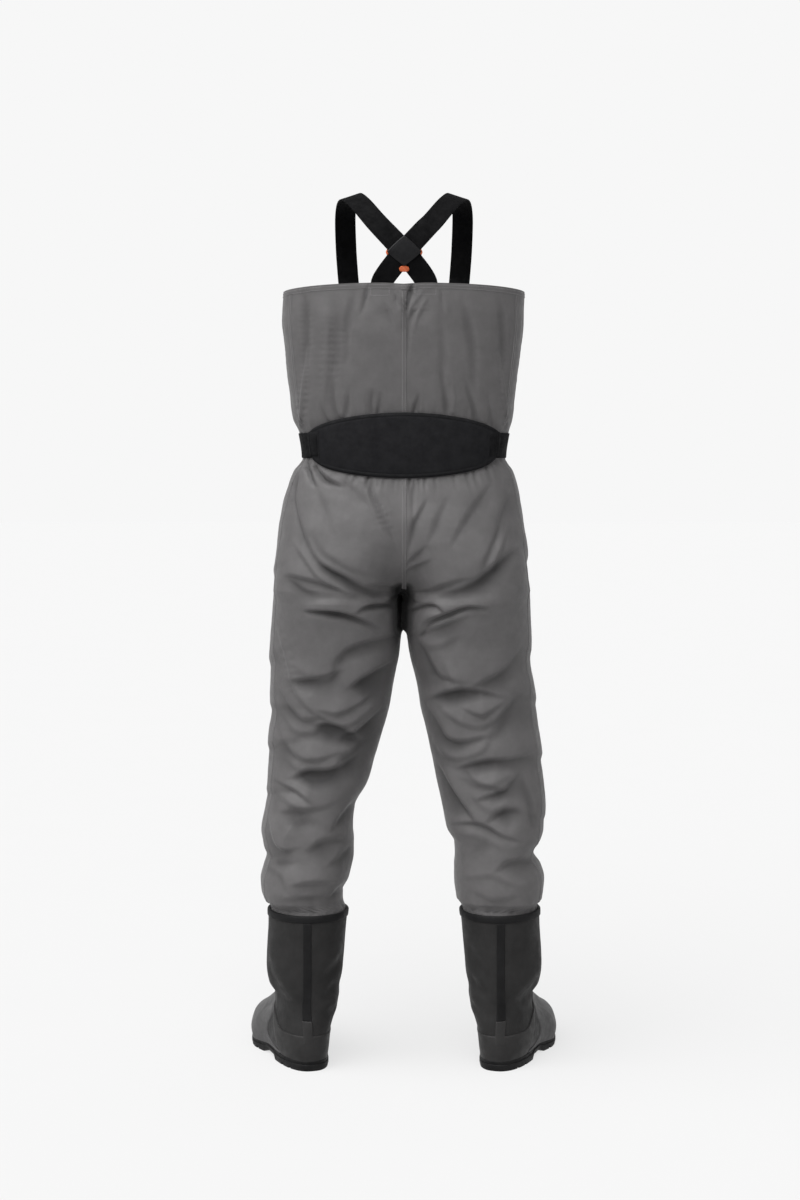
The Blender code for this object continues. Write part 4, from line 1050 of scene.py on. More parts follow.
def cover_gap(points):
    """How far a point of the body lies above or below the pad or belt; under them it is negative."""
    x, y = points[:, 0] / WAIST_HALF, -points[:, 1] / BELT_BACK
    place = np.abs(np.arctan2(x, y)) / PAD_END
    half = np.where(place < 1, pad_half(place), (BELT_HIGH - BELT_LOW) / 2)
    return np.abs(points[:, 2] - BELT_MIDDLE) - half


def front_creases():
    """The folds of the legs' backs, repeated at the front."""
    found = []
    for crease in creases_of("front", LEG_FOLDS["back"]):
        route = [(-x, z - FRONT_DROP) for x, z in crease.route]
        found.append(crease._replace(depth=FRONT_GAIN * crease.depth, slope=SOFT, route=route))
    return found


def gather_wave(turned):
    return sum(np.sin(2 * math.pi * turned / pitch + phase) for pitch, phase in GATHER_PITCHES)


def shell_lift(points, normals, drop):
    """Creases, gathers, hem and small unevenness of the cloth; drop is the depth below the bib's edge."""
    creases = [crease for table in (SEAT_FOLDS, LEG_FOLDS, BIB_FOLDS) for crease in all_creases(table)]
    lift = crease_lift(points, normals, creases + front_creases())
    lift += noise_lift(points, UNEVEN_DEPTH, UNEVEN_SCALE) + noise_lift(points, PUCKER_DEPTH, PUCKER_SCALE)
    gap = cover_gap(points)
    body = points[:, 2] > FORK_Z
    round_body = np.arctan2(points[:, 0], -points[:, 1]) * BODY_RADIUS
    swell = 1 - GATHER_SWING + GATHER_SWING * np.sin(2 * math.pi * round_body / GATHER_SWELL)
    wave = gather_wave(round_body) * swell
    gather = np.where(points[:, 2] > BELT_HIGH, GATHER_OVER, GATHER_DEPTH)
    lift += body * gather * np.exp(-((np.maximum(gap, 0) / GATHER_REACH) ** 2)) * wave / 2
    held = np.where(gap < COVER_NEAR, np.minimum(lift, COVER_LIFT), lift)
    lift = np.where(body, held * smooth((gap + COVER_UNDER) / COVER_FADE), lift)
    leg_x = points[:, 0] - np.sign(points[:, 0]) * BOOT_X
    wave = gather_wave(np.arctan2(leg_x, -points[:, 1]) * LEG_RADIUS)
    collar = points[:, 2] - COLLAR.front_z - CUFF_RISE
    lift += COLLAR_DEPTH * np.exp(-((collar / COLLAR_REACH) ** 2)) * (wave / 2 - COLLAR_PINCH)
    lift = np.where(collar < COLLAR_NEAR, np.minimum(lift, 0) * smooth(1 + collar / COLLAR_FADE), lift)
    beside = np.abs(np.abs(points[:, 0]) - BRACE_END_X) < BRACE_END_HALF
    over_brace = beside & (drop < BRACE_END_DROP) & (np.abs(points[:, 1]) > BRACE_END_Y)
    lift = np.where(over_brace, np.maximum(lift, -BRACE_END_SINK), lift)
    aside = points[:, 0] / CROTCH_DENT_HALF
    rise = (points[:, 2] - CROTCH_DENT_Z) / CROTCH_DENT_HEIGHT
    lift -= CROTCH_DENT * np.exp(-(aside**2) - rise**2) * (points[:, 1] < 0)
    hem = smooth((HEM_ROWS[-2] - drop) / (HEM_ROWS[-2] - HEM_ROWS[-3]))
    return lift * smooth(drop / HEM_STEADY + HEM_SHARE) + HEM_RISE * hem


def bent(points):
    """The points with the inner thighs bent to one side and back."""
    x, y, z = points.T
    high = smooth((z - BEND_LOW) / BEND_FADE) * smooth((BEND_HIGH - z) / BEND_FADE)
    through_leg = y / BEND_DEPTH
    shift = BEND * high * through_leg * np.exp(0.5 - 0.5 * through_leg**2 - (x / BEND_WIDTH) ** 2)
    return np.stack([x + shift, y, z], axis=-1)


def cleft_shade(points):
    """Depth added to the painted shade of folds, giving the painted shadow where the thighs meet."""
    x, y, z = points.T
    high = smooth((z - CLEFT_LOW) / CLEFT_LOW_FADE) * smooth((CLEFT_HIGH - z) / CLEFT_FADE)
    behind = smooth((CLEFT_DEPTH - y) / CLEFT_DEPTH)
    return CLEFT_SHADE * high * behind * np.exp(-(((x - CLEFT_X) / CLEFT_SHADE_WIDTH) ** 2))


def quad_normals(points, quads):
    """The normal at each point, from the quads that meet there."""
    corners = points[quads]
    normals = np.cross(corners[:, 2] - corners[:, 0], corners[:, 3] - corners[:, 1])
    total = np.zeros_like(points)
    for corner in quads.T:
        np.add.at(total, corner, normals)
    return unit(total)


class Shell:
    """The finished outside of the cloth: its points, normals and mesh columns, for seams and stitches."""

    def __init__(self):
        torso = torso_grid()
        rows = len(torso)
        self.torso = np.arange(rows * TORSO_COLUMNS).reshape(rows, TORSO_COLUMNS)
        share = np.arange(1, CROTCH_COLUMNS + 1)[:, None] / (CROTCH_COLUMNS + 1)
        back, front = torso[-1, 0], torso[-1, TORSO_COLUMNS // 2]
        crotch = front + (back - front) * share
        crotch[:, 2] -= FORK_SAG * np.sin(math.pi * share[:, 0])
        crotch_numbers = rows * TORSO_COLUMNS + np.arange(CROTCH_COLUMNS)
        points = np.concatenate([torso.reshape(-1, 3), crotch])
        closed = np.hstack([self.torso, self.torso[:, :1]])
        along, around = grid_lengths(points[closed])
        pieces = [("wader_bib_cloth", *grid_faces(closed.tolist(), along, around, flip=True))]
        self.legs = {}
        for word, side in (("right", 1), ("left", -1)):
            half = self.torso[-1][(side * np.arange(HALF_COLUMNS)) % TORSO_COLUMNS]
            loop = np.concatenate([half, crotch_numbers])
            grid = leg_grid(side, points[loop])
            below = len(points) + np.arange(len(grid) * LEG_COLUMNS).reshape(len(grid), LEG_COLUMNS)
            points = np.concatenate([points, grid.reshape(-1, 3)])
            self.legs[side] = np.vstack([loop, below])
            closed = np.hstack([self.legs[side], self.legs[side][:, :1]])
            lengths, widths = grid_lengths(points[closed])
            found = grid_faces(closed.tolist(), along[-1] + lengths, widths, flip=side > 0)
            pieces.append(("wader_leg_cloth_" + word, *found))
        quads = np.array([face for _, faces, _ in pieces for face in faces])
        points = bent(points)
        normals = quad_normals(points, quads)
        drop = BIB_TOP_SIDE - points[:, 2]
        drop[self.torso] = torso[0, :, 2] - torso[:, :, 2]
        self.lift = shell_lift(points, normals, drop)
        self.points = points + normals * self.lift[:, None]
        self.normals = quad_normals(self.points, quads)
        self.tree = BVHTree.FromPolygons(self.points.tolist(), quads.tolist())
        for piece in pieces:
            self.build_piece(*piece)
        self.build_lining()

    def build_piece(self, name, faces, uvs):
        """A part of the cloth, with the normals of the whole, so that no joint shows."""
        kept, local = np.unique(np.array(faces), return_inverse=True)
        faces = local.reshape(-1, 4).tolist()
        made = mesh_object(name, self.points[kept], faces, uvs, "shell_fabric", CLOTH_SHARP)
        made.data.normals_split_custom_set_from_vertices(self.normals[kept].tolist())
        # The fold depth, less the cleft's painted shadow, is stored for the painted shade in the cloth's
        # colour
        fold = made.data.attributes.new("fold", "FLOAT", "POINT")
        fold.data.foreach_set("value", (self.lift - cleft_shade(self.points))[kept].astype(np.float32))
        settle(made, "wader_shell")

    def build_lining(self):
        """The cloth's inside, coarser than the outside, from its rolled edge at the bib down to the cuffs."""
        rows = np.vstack([self.torso[:1], self.torso[::LINING_STEP]])
        deep = smooth((np.arange(len(rows)) - 2) / LINING_EASE_ROWS)
        inset = SHELL_WALL + (LINING_INSET - SHELL_WALL) * deep
        inset[0] = 0
        self.lining("lining_body", rows[:, ::LINING_STEP], inset, False)
        for word, side in (("left", -1), ("right", 1)):
            rows = self.legs[side][::LINING_STEP]
            inset = np.full(len(rows), LINING_INSET)
            self.lining("lining_" + word, rows[:, ::LINING_STEP], inset, side < 0)

    def lining(self, name, numbers, inset, flip):
        points = self.points[numbers] - self.normals[numbers] * inset[:, None, None]
        settle(loft(name, points, "lining", caps=False, flip=flip))

    def run(self, places):
        """Points and normals of the cloth that shows from the back at places given as x and height."""
        facing = FACES["back"][0]
        hits = [self.tree.ray_cast(Vector((x, 0, z)) + facing, -facing) for x, z in places]
        return np.array([hit[0] for hit in hits]), np.array([hit[1] for hit in hits])


# Seams and stitches


def seam(name, points, normals, across, sizes):
    """A raised strip with rolled edges along a run of points on the cloth, and the runs of its stitches."""
    half, line = sizes
    sections = [points + across * half * side + normals * SEAM_RISE * lift for side, lift in SEAM_SECTION]
    skin(name, np.stack(sections, axis=1), "shell_fabric", 1)
    return [(points + across * side * line + normals * STITCH_RISE, normals) for side in (-1, 1)]


def stitches(name, runs, finish="thread", pitch=0.0034, length=0.0025, width=0.0009, rise=0.0005):
    """Short raised threads along runs, each a pair of points and normals, joined in one mesh."""
    points, faces = [], []
    for places, normals in runs:
        places, normals = np.asarray(places), np.asarray(normals)
        reach = spaced(np.linalg.norm(np.diff(places, axis=0), axis=1))
        for start in np.arange(pitch / 2, reach[-1], pitch):
            ends = [np.clip(start + shift, 0, reach[-1]) for shift in (-length / 2, 0, length / 2)]
            near = [np.array([np.interp(end, reach, places[:, axis]) for axis in range(3)]) for end in ends]
            up = unit(np.array([np.interp(start, reach, normals[:, axis]) for axis in range(3)]))
            side = unit(np.cross(up, near[2] - near[0])) * width / 2
            first = len(points)
            points += [near[0], near[1] - side, near[2], near[1] + side, near[1] + up * rise]
            faces += [(first + k, first + (k + 1) % 4, first + 4) for k in range(4)]
    made = mesh_object(name, points, faces, np.zeros((3 * len(faces), 2)), finish)
    return settle(made)


def build_seams(shell):
    """Centre back seam, side seams on bib and legs, hem lines and the boxes that hold the braces."""
    runs = []
    heights = np.linspace(BIB_TOP_BACK - SEAM_TOP_DROP, CENTRE_SEAM_LOW, SEAM_STEPS)
    over = heights - BELT_MIDDLE
    hidden = PAD_MID_HALF - SEAM_PAD_LAP
    for part, word in ((heights[over >= hidden], "bib"), (heights[over <= -hidden], "seat")):
        points, normals = shell.run([(0.0, z) for z in part])
        across = unit(np.cross(np.gradient(points, axis=0), normals))
        runs += seam("centre_seam_" + word, points, normals, across, CENTRE_SEAM)
    for side in (1, -1):
        for word, numbers in side_columns(shell, side):
            points, normals = shell.points[numbers[:, 1]], shell.normals[numbers[:, 1]]
            across = unit(shell.points[numbers[:, 2]] - shell.points[numbers[:, 0]])
            name = "side_seam_" + word + ("_right" if side > 0 else "_left")
            runs += seam(name, points, normals, across, SIDE_SEAM)
    for row in HEM_LINES:
        numbers = np.append(shell.torso[row], shell.torso[row, 0])
        normals = shell.normals[numbers]
        runs.append((shell.points[numbers] + normals * HEM_STITCH_RISE, normals))
    high = BIB_TOP_BACK - BOX_DROP
    for left, right, low in BRACE_BOXES:
        corners = [(left, high), (left, low), (right, low), (right, high)]
        for start, end in zip(corners[:-1], corners[1:]):
            runs.append(shell.run(np.linspace(start, end, BOX_STEPS)))
    stitches("seam_stitches", runs)


def side_columns(shell, side):
    """Point numbers beside and on the side seams of the bib and of one leg, as rows of three."""
    column = side * np.abs(ring_angles() - BIB_SEAM_ANGLE).argmin()
    bib = shell.torso[SEAM_FIRST_ROW:, [column - side, column, column + side]]
    bib = bib[shell.points[bib[:, 1], 2] > BELT_HIGH + SEAM_BELT_CLEAR]
    nearest = np.abs(ring_angles() - LEG_SEAM_ANGLE).argmin()
    column = side * nearest
    seat = shell.torso[SEAM_FIRST_ROW:-1, [column - side, column, column + side]]
    seat = seat[shell.points[seat[:, 1], 2] < BELT_LOW - SEAM_BELT_CLEAR]
    leg = shell.legs[side][:, nearest - 1:nearest + 2]
    leg = leg[shell.points[leg[:, 1], 2] > LEG_END - SEAM_CUFF_LAP]
    return ("bib", bib), ("leg", np.vstack([seat, leg]))


# Boots


def sole_bottom(share):
    return np.interp(share, [row[0] for row in SOLE_PROFILE], [row[1] for row in SOLE_PROFILE])


def sole_top(share):
    return through([(row[0], row[2]) for row in SOLE_PROFILE], share)[..., 0]


def boot_local(level, angle):
    """Points of the right boot's outside, its outer side at +X, at slice levels and angles round it."""
    rows = [(number, *row) for number, row in enumerate(BOOT_SLICES)]
    back_y, back_z, front_y, front_z, heel, waist, ball, power, follow, lean = columns_of(rows, level)
    across, fore = rounded(angle, power)
    share = (1 + fore) / 2
    near = heel + (waist - heel) * smooth((share - HEEL_SHARE) / (WAIST_SHARE - HEEL_SHARE))
    half = near + (ball - waist) * smooth((share - WAIST_SHARE) / (BALL_SHARE - WAIST_SHARE))
    y = back_y + (front_y - back_y) * share
    straight = sole_top(0.0) + (sole_top(1.0) - sole_top(0.0)) * share
    z = back_z + (front_z - back_z) * share + follow * (sole_top(share) - straight)
    sway = -TOE_SWAY * smooth((y - SWAY_START) / SWAY_LENGTH)
    return np.stack([lean + sway + across * half, y, z], axis=-1)


def boot_normal(level, angle):
    around = boot_local(level, angle + BOOT_STEP) - boot_local(level, angle - BOOT_STEP)
    above = boot_local(np.minimum(level + BOOT_STEP, COLLAR_LEVEL), angle)
    below = boot_local(np.maximum(level - BOOT_STEP, 0), angle)
    return unit(np.cross(around, above - below))


def boot_place(points, side):
    """The points of a foot in the table frame, mirrored for the left one."""
    turn = -side * TURN_OUT
    x, y = points[..., 0] * side, points[..., 1]
    turned_x = x * math.cos(turn) - y * math.sin(turn) + side * BOOT_X
    return np.stack([turned_x, x * math.sin(turn) + y * math.cos(turn), points[..., 2]], axis=-1)


def boot_level(z):
    return np.interp(z, [row.back_z for row in BOOT_SLICES], range(len(BOOT_SLICES)))


def boot_skin(level, angle, lift, side):
    """Points on or over a boot's upper, with its creases."""
    shape = np.broadcast(level, angle, lift).shape
    level, angle, lift = (np.broadcast_to(values, shape).astype(float) for values in (level, angle, lift))
    normals = boot_normal(level, angle)
    points = boot_place(boot_local(level, angle), side)
    outward = boot_place(normals, side) - boot_place(np.zeros(3), side)
    flat, facing = points.reshape(-1, 3), outward.reshape(-1, 3)
    crease = crease_lift(flat, facing, creases_of("back", BOOT_FOLDS[side]), folded=False)
    crease += noise_lift(flat, BOOT_UNEVEN, BOOT_UNEVEN_SCALE)
    over_foot = smooth((flat[:, 2] - SHAFT_LOW) / SHAFT_LOW_FADE)
    shaft = over_foot * smooth((SHAFT_HIGH - flat[:, 2]) / SHAFT_HIGH_FADE)
    return points + outward * (lift + (crease * shaft).reshape(shape))[..., None]


def edged(count, fine):
    """Shares along a run with extra ones at both ends, for rolled edges, and the thickness at them."""
    places, thick = np.array(ROLL).T
    inside = np.linspace(ROLL_END * fine, 1 - ROLL_END * fine, count)
    shares = np.concatenate([places * fine, inside, 1 - places[::-1] * fine])
    return shares, np.concatenate([thick, np.ones(count), thick[::-1]])


def rim_angle(level, rim):
    """The angle at which a boot's ring crosses an overlay's rim, seen from the side."""

    def ahead(angle):
        point = boot_local(level, angle)
        return point[..., 1] > through(rim, point[..., 2])[..., 0]

    return turning_place(ahead, np.zeros_like(level), np.full_like(level, math.pi))


def counter_top(y):
    share = (y - COUNTER_SWEEP_START) / COUNTER_SWEEP_LENGTH
    return COUNTER_HEEL_Z + (COUNTER_FRONT_Z - COUNTER_HEEL_Z) * smooth(share)


def build_upper(word, side):
    """A boot's upper, with the flexing panel between toe cap and counter in its own finish."""
    z = np.linspace(FEATHER.back_z, COLLAR.back_z, BOOT_ROWS + 1)
    level = boot_level(z)[:, None]
    angle = round_angles(BOOT_COLUMNS)
    points = boot_skin(level, angle, 0.0, side)
    made = loft("boot_upper_cloth_" + word, points, "boot_cloth", caps=False, flip=side < 0)
    made.data.materials.append(look("flex_rubber"))
    local = boot_local(*np.broadcast_arrays(level, angle))
    corners = np.array([tuple(face.vertices) for face in made.data.polygons])
    middles = local.reshape(-1, 3)[corners].mean(axis=1)
    ahead = middles[:, 1] > through(COUNTER_RIM, middles[:, 2])[:, 0] - FLEX_LAP
    flexing = ahead & (middles[:, 2] < FLEX_TOP)
    made.data.polygons.foreach_set("material_index", flexing.astype(np.int32))
    thicken(made, BOOT_WALL)
    settle(made, "boot_upper_" + word)


def build_toe_cap(word, side):
    """The toe cap, from the sole up to the level where its rim closes over the instep."""

    def closed(level):
        return rim_angle(level, TOE_RIM) > math.pi - RIM_CLOSED

    low, high = (np.array([level]) for level in TOE_TOP_LEVELS)
    top = turning_place(closed, low, high)
    shares, rows_thick = edged(*TOE_ROWS)
    rows_thick = np.where(shares < 0.5, 1.0, rows_thick)
    level = (shares * top)[:, None]
    start = rim_angle(level, TOE_RIM)
    across, columns_thick = edged(*TOE_COLUMNS)
    angle = start + (2 * math.pi - 2 * start) * across
    lift = RUBBER_THICK * np.minimum(rows_thick[:, None], columns_thick)
    points = boot_skin(level, angle, lift, side)
    skin("toe_cap_skin_" + word, points, "toe_rubber", side, "toe_cap_" + word)


def build_counter(word, side):
    """The heel counter, from the sole up to its sweeping top, and its tab up the back."""
    across, columns_thick = edged(*COUNTER_COLUMNS)
    turn = 2 * across - 1

    def over(level):
        point = boot_local(level, turn * rim_angle(level, COUNTER_RIM))
        return point[:, 2] > counter_top(point[:, 1])

    low, high = (np.full_like(turn, level) for level in COUNTER_LEVELS)
    top = turning_place(over, low, high)
    shares, rows_thick = edged(*COUNTER_ROWS)
    rows_thick = np.where(shares < 0.5, 1.0, rows_thick)
    level = shares[:, None] * top
    angle = turn * rim_angle(level, COUNTER_RIM)
    lift = RUBBER_THICK * np.minimum(rows_thick[:, None], columns_thick)
    points = boot_skin(level, angle, lift, side)
    skin("heel_counter_skin_" + word, points, "boot_rubber", side, "heel_counter_" + word)
    tab = heel_band(side, TAB_BOTTOM, TAB_TOP, TAB_HALF, RUBBER_THICK + GAP)
    skin("heel_tab_" + word, tab, "boot_rubber", side)


def heel_band(side, bottom, top, half, thick):
    """A narrow band up the back of a boot, as a grid of points with rolled edges."""
    shares, rows_thick = edged(*BAND_ROWS)
    across, columns_thick = edged(*BAND_COLUMNS)
    level = boot_level(bottom + (top - bottom) * shares)[:, None]
    rows = [(number, row.heel, row.power, row.lean) for number, row in enumerate(BOOT_SLICES)]
    heel, power, lean = columns_of(rows, level)
    aside = (BACK_LINE + (2 * across - 1) * half - lean) / heel
    angle = np.arctan2(aside, (1 - np.abs(aside) ** power) ** (1 / power))
    lift = thick * np.minimum(rows_thick[:, None], columns_thick)
    return boot_skin(level, angle, lift, side)


def build_strip(word, side):
    band = heel_band(side, STRIP_BOTTOM, STRIP_TOP, STRIP_HALF, STRIP_THICK)
    skin("back_strip_skin_" + word, band, "strip_rubber", side, "back_strip_" + word)


def build_binding(word, side):
    """A band round the collar, from its lower edge over the rim to the inside."""
    angle = round_angles(BOOT_COLUMNS)
    rows = []
    for rise, lift in BINDING_SECTION:
        level = np.full_like(angle, boot_level(COLLAR.back_z + min(rise, 0)))
        ring = boot_local(level, angle) + boot_normal(level, angle) * lift
        ring[:, 2] = COLLAR.back_z + rise
        rows.append(boot_place(ring, side))
    made = loft("collar_binding_band_" + word, rows, "strip_rubber", caps=False, flip=side < 0)
    settle(made, "collar_binding_" + word)


def sole_stations():
    """(share along the foot, height of the tread there) from the heel to the toe, with the grooves' walls."""
    angle = np.linspace(0, math.pi, SOLE_STATIONS)
    shares = (1 + rounded(angle, FEATHER.power)[1]) / 2
    stations = [(share, sole_bottom(share)) for share in shares]
    for first, pitch, count, width in GROOVES:
        for start in first + pitch * np.arange(count):
            end = start + width
            stations = [row for row in stations if not start <= row[0] * FOOT_LENGTH <= end]
            walls = ((start, 0), (start + GROOVE_WALL, 1), (end - GROOVE_WALL, 1), (end, 0))
            for place, deep in walls:
                share = place / FOOT_LENGTH
                stations.append((share, sole_bottom(share) + deep * GROOVE_DEPTH))
    return np.array(sorted(stations))


def build_outsole(word, side):
    stations = sole_stations()
    fore = 2 * stations[:, 0] - 1
    reach = np.maximum(0, 1 - np.abs(fore) ** FEATHER.power) ** (1 / FEATHER.power)
    outer = np.arctan2(reach, -fore)
    angle = np.concatenate([outer, 2 * math.pi - outer[-2:0:-1]])
    share = np.concatenate([stations[:, 0], stations[-2:0:-1, 0]])
    tread = np.concatenate([stations[:, 1], stations[-2:0:-1, 1]])
    edge = boot_local(np.zeros_like(angle), angle)
    along = np.roll(edge, -1, axis=0) - np.roll(edge, 1, axis=0)
    normal = unit(np.stack([along[:, 1], -along[:, 0], 0 * share], axis=-1))
    low, high = sole_bottom(share) + TREAD, sole_top(share)
    rows = [(tread, SOLE_EDGE[0][1] - TREAD_INSET)]
    rows += [(low + (high - low) * rise, outset) for rise, outset in SOLE_EDGE]
    rows.append((high, -BOOT_WALL))
    rings = []
    for z, outset in rows:
        ring = edge + normal * outset
        ring[:, 2] = z
        rings.append(boot_place(ring, side))
    half = len(angle) // 2
    right = [-i % len(angle) for i in range(half + 1)]
    floor = [(0, right[1], 1), (half - 1, right[half - 1], half)]
    floor += [(i, right[i], right[i + 1], i + 1) for i in range(1, half - 1)]
    name = "outsole_rubber_" + word
    made = loft(name, rings, "sole_rubber", caps=False, flip=side < 0, sharp=SOLE_SHARP, extra=floor)
    settle(made, "outsole_" + word)


def build_boots():
    for word, side in (("left", -1), ("right", 1)):
        build_upper(word, side)
        build_toe_cap(word, side)
        build_counter(word, side)
        build_strip(word, side)
        build_binding(word, side)
        build_outsole(word, side)
        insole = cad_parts["insole_" + word]
        insole.data.materials.clear()
        insole.data.materials.append(look("felt"))


# Belt and back pad


def pad_half(share):
    return PAD_END_HALF + (PAD_MID_HALF - PAD_END_HALF) * (1 - share**2)


def webbing(name, angle, near, closed, node):
    """A woven band round the waist with rounded edges; near is its inner face's distance from the cloth."""
    sections = []
    for rise, depth in WEBBING_SECTION:
        z = np.full_like(angle, BELT_LOW + (BELT_HIGH - BELT_LOW) * rise)
        sections.append(torso_points(angle, z) + torso_normal(angle, z) * (near + WEBBING_THICK * depth))
    settle(loft(name, np.stack(sections, axis=1), "webbing", loop=closed), node)


def pad_surface(angle, rise):
    """The pad's base, normal, thickness and depth in from its edge, at shares of its height."""
    half = pad_half(angle / PAD_END)
    normal = torso_normal(angle, np.full_like(angle, BELT_MIDDLE))
    low = torso_points(angle, BELT_MIDDLE - half)
    high = torso_points(angle, BELT_MIDDLE + half)
    base = low + (high - low) * rise[..., None]
    crown = 1 - (2 * rise - 1) ** 2
    inset = np.minimum(2 * half * np.minimum(rise, 1 - rise), (PAD_END - np.abs(angle)) * BODY_RADIUS)
    thick = PAD_EDGE_THICK + (PAD_THICK - PAD_EDGE_THICK) * np.clip(crown, 0, 1) ** PAD_CROWN
    thick = thick * (PAD_ROLL_SHARE + (1 - PAD_ROLL_SHARE) * np.sqrt(smooth(inset / PAD_ROLL)))
    (groove, groove_wide), (bead, bead_wide) = PAD_GROOVE, PAD_BEAD
    thick = thick - groove * np.exp(-(((inset - PAD_BORDER) / groove_wide) ** 2))
    thick = thick + bead * np.exp(-(((inset - PAD_BORDER / 2) / bead_wide) ** 2))
    return base, normal, thick, inset


def build_pad():
    """The lens-shaped pad, crowned, with a bound edge in its own finish."""
    ends, edge = np.array(PAD_TURNS), np.array(PAD_RISES)
    across = np.linspace(-PAD_TURN_INSIDE, PAD_TURN_INSIDE, PAD_TURN_COUNT)
    turn = np.concatenate([-ends, across, ends[::-1]])
    between = np.linspace(PAD_RISE_INSIDE, 1 - PAD_RISE_INSIDE, PAD_RISE_COUNT)
    rise = np.concatenate([edge, between, 1 - edge[::-1]])
    angle, rise = np.meshgrid(turn * PAD_END, rise, indexing="ij")
    base, normal, thick, inset = pad_surface(angle, rise)
    outside = base + normal * (PAD_OFF + thick)[..., None]
    inside = (base + normal * PAD_OFF)[:, ::-PAD_BACK_STEP]
    made = loft("lumbar_pad_cover", np.concatenate([outside, inside], axis=1), "pad_knit")
    made.data.materials.append(look("pad_binding"))
    edged_face = np.concatenate([inset, np.zeros(inside.shape[:2])], axis=1).ravel()
    for face in made.data.polygons:
        if edged_face[list(face.vertices)].mean() < PAD_BORDER:
            face.material_index = 1
    settle(made, "lumbar_pad")


def pad_line(angle, z, lift):
    """A run of points over the pad at angles and heights, and the normals there."""
    half = pad_half(np.clip(angle / PAD_END, -1, 1))
    rise = (z - BELT_MIDDLE + half) / (2 * half)
    base, normal, thick, _ = pad_surface(angle, np.clip(rise, 0, 1))
    return base + normal * (PAD_OFF + thick + lift)[..., None], normal


def build_belt():
    webbing("belt_webbing_band", round_angles(TORSO_COLUMNS), GAP, True, "belt_webbing")
    lap = math.pi + np.linspace(-LAP_HALF, LAP_HALF, LAP_STATIONS)
    webbing("belt_lap_band", lap, PAD_OFF, False, "belt_lap")
    build_pad()
    for side, word in ((-1, "left"), (1, "right")):
        build_tail(side, word)


def build_tail(side, word):
    """The belt where it comes out of the pad's slit, over the pad's end and back down on itself."""
    slit = side * SLIT_ANGLE
    angle = np.linspace(slit, side * (PAD_END + TAIL_BEYOND), TAIL_STATIONS)
    on_pad = np.clip(angle, -PAD_END, PAD_END)
    past = smooth((np.abs(angle) - PAD_END + TAIL_DOWN_START) / TAIL_DOWN)
    sunk = TAIL_SUNK * (1 - smooth((np.abs(angle) - SLIT_ANGLE) / TAIL_OUT))[:, None]
    rows = []
    for height in np.linspace(BELT_LOW + TAIL_INSET, BELT_HIGH - TAIL_INSET, TAIL_COLUMNS):
        z = height + TAIL_RISE * (1 - past)
        over, normal = pad_line(on_pad, z, TAIL_LIFT)
        base = torso_points(angle, z)
        beside = base + torso_normal(angle, z) * (GAP + WEBBING_THICK + TAIL_CLEAR)
        raised = base + over - torso_points(on_pad, z)
        rows.append(raised + (beside - raised) * past[:, None] - normal * sunk)
    thicken(skin("belt_tail_" + word, np.stack(rows, axis=1), "webbing", side), TAIL_WALL)
    z = np.linspace(BELT_LOW, BELT_HIGH + SLIT_OVER, SLIT_STATIONS)
    lines = [pad_line(np.full_like(z, slit + side * shift), z, lift)[0] for shift, lift in SLIT_LINES]
    skin("pad_slit_" + word, lines, "pad_binding", side)


# Braces and the patch on their crossing


def back_surface(z):
    """Depth and outward direction of the braces' middle surface on the wearer's back, at heights."""
    rows = curve_through(BRACE_ROUTE, BACK_STATIONS)
    back = rows[rows[:, 1] < BACK_LIMIT]
    heights, depths = back[:, 2], back[:, 1]
    slope = np.interp(z + BACK_STEP, heights, depths) - np.interp(z - BACK_STEP, heights, depths)
    normal = np.stack([0 * slope, 0 * slope - 2 * BACK_STEP, slope], axis=-1)
    return np.interp(z, heights, depths), unit(normal)


def build_brace(name, side, lift):
    rows = curve_through(BRACE_ROUTE, BRACE_STATIONS)
    tangent = unit(np.gradient(rows[:, :3], axis=0))
    normal = unit(rows[:, 3:] - tangent * (rows[:, 3:] * tangent).sum(axis=1)[:, None])
    across = np.cross(tangent, normal)
    shared = smooth(1 - (np.abs(rows[:, 2] - CROSSING_Z) - LIFT_REACH) / LIFT_FADE) * (rows[:, 1] < 0)
    lines = []
    for place, thick in BRACE_SECTION + [(place, -thick) for place, thick in BRACE_SECTION[::-1]]:
        points = rows[:, :3] + across * BRACE_WIDTH * place
        depth, outward = back_surface(points[:, 2])
        points[:, 1] += (depth - points[:, 1]) * shared
        facing = unit(normal + (outward - normal) * shared[:, None])
        points = points + facing * (lift * shared + thick * BRACE_THICK / 2)[:, None]
        points[:, 0] *= side
        lines.append(points)
    made = loft(name + "_webbing", np.stack(lines, axis=1), "brace_webbing", flip=side > 0)
    settle(made, name)


def patch_points(middle, wide, high, low, corner, offset):
    """Points of a diamond with blunt corners on the crossing, and its two ways across."""
    u, v = np.meshgrid(*[np.linspace(-1, 1, PATCH_CELLS + 1)] * 2, indexing="ij")
    across, rise = (u + v) / 2, (u - v) / 2
    blunt = (np.abs(across) ** corner + np.abs(rise) ** corner) ** (1 / corner)
    reach = np.maximum(np.abs(u), np.abs(v))
    scale = reach / np.maximum(blunt, 1e-9)
    tall = np.where(rise > 0, high, low)
    x = across * scale * wide * PATCH_HALF_WIDTH
    z = middle + rise * scale * tall * PATCH_HALF_HEIGHT
    y, normal = back_surface(z)
    edge = np.sqrt(np.clip((1 - reach) / PATCH_ROLL, 0, 1))
    deep, groove, groove_wide = PATCH_GROOVE
    thick = PATCH_THICK * (PATCH_ROLL_SHARE + (1 - PATCH_ROLL_SHARE) * edge)
    thick = thick - deep * np.exp(-(((1 - reach - groove) / groove_wide) ** 2))
    return np.stack([x, y, z], axis=-1) + normal * (offset + thick)[..., None], u, v


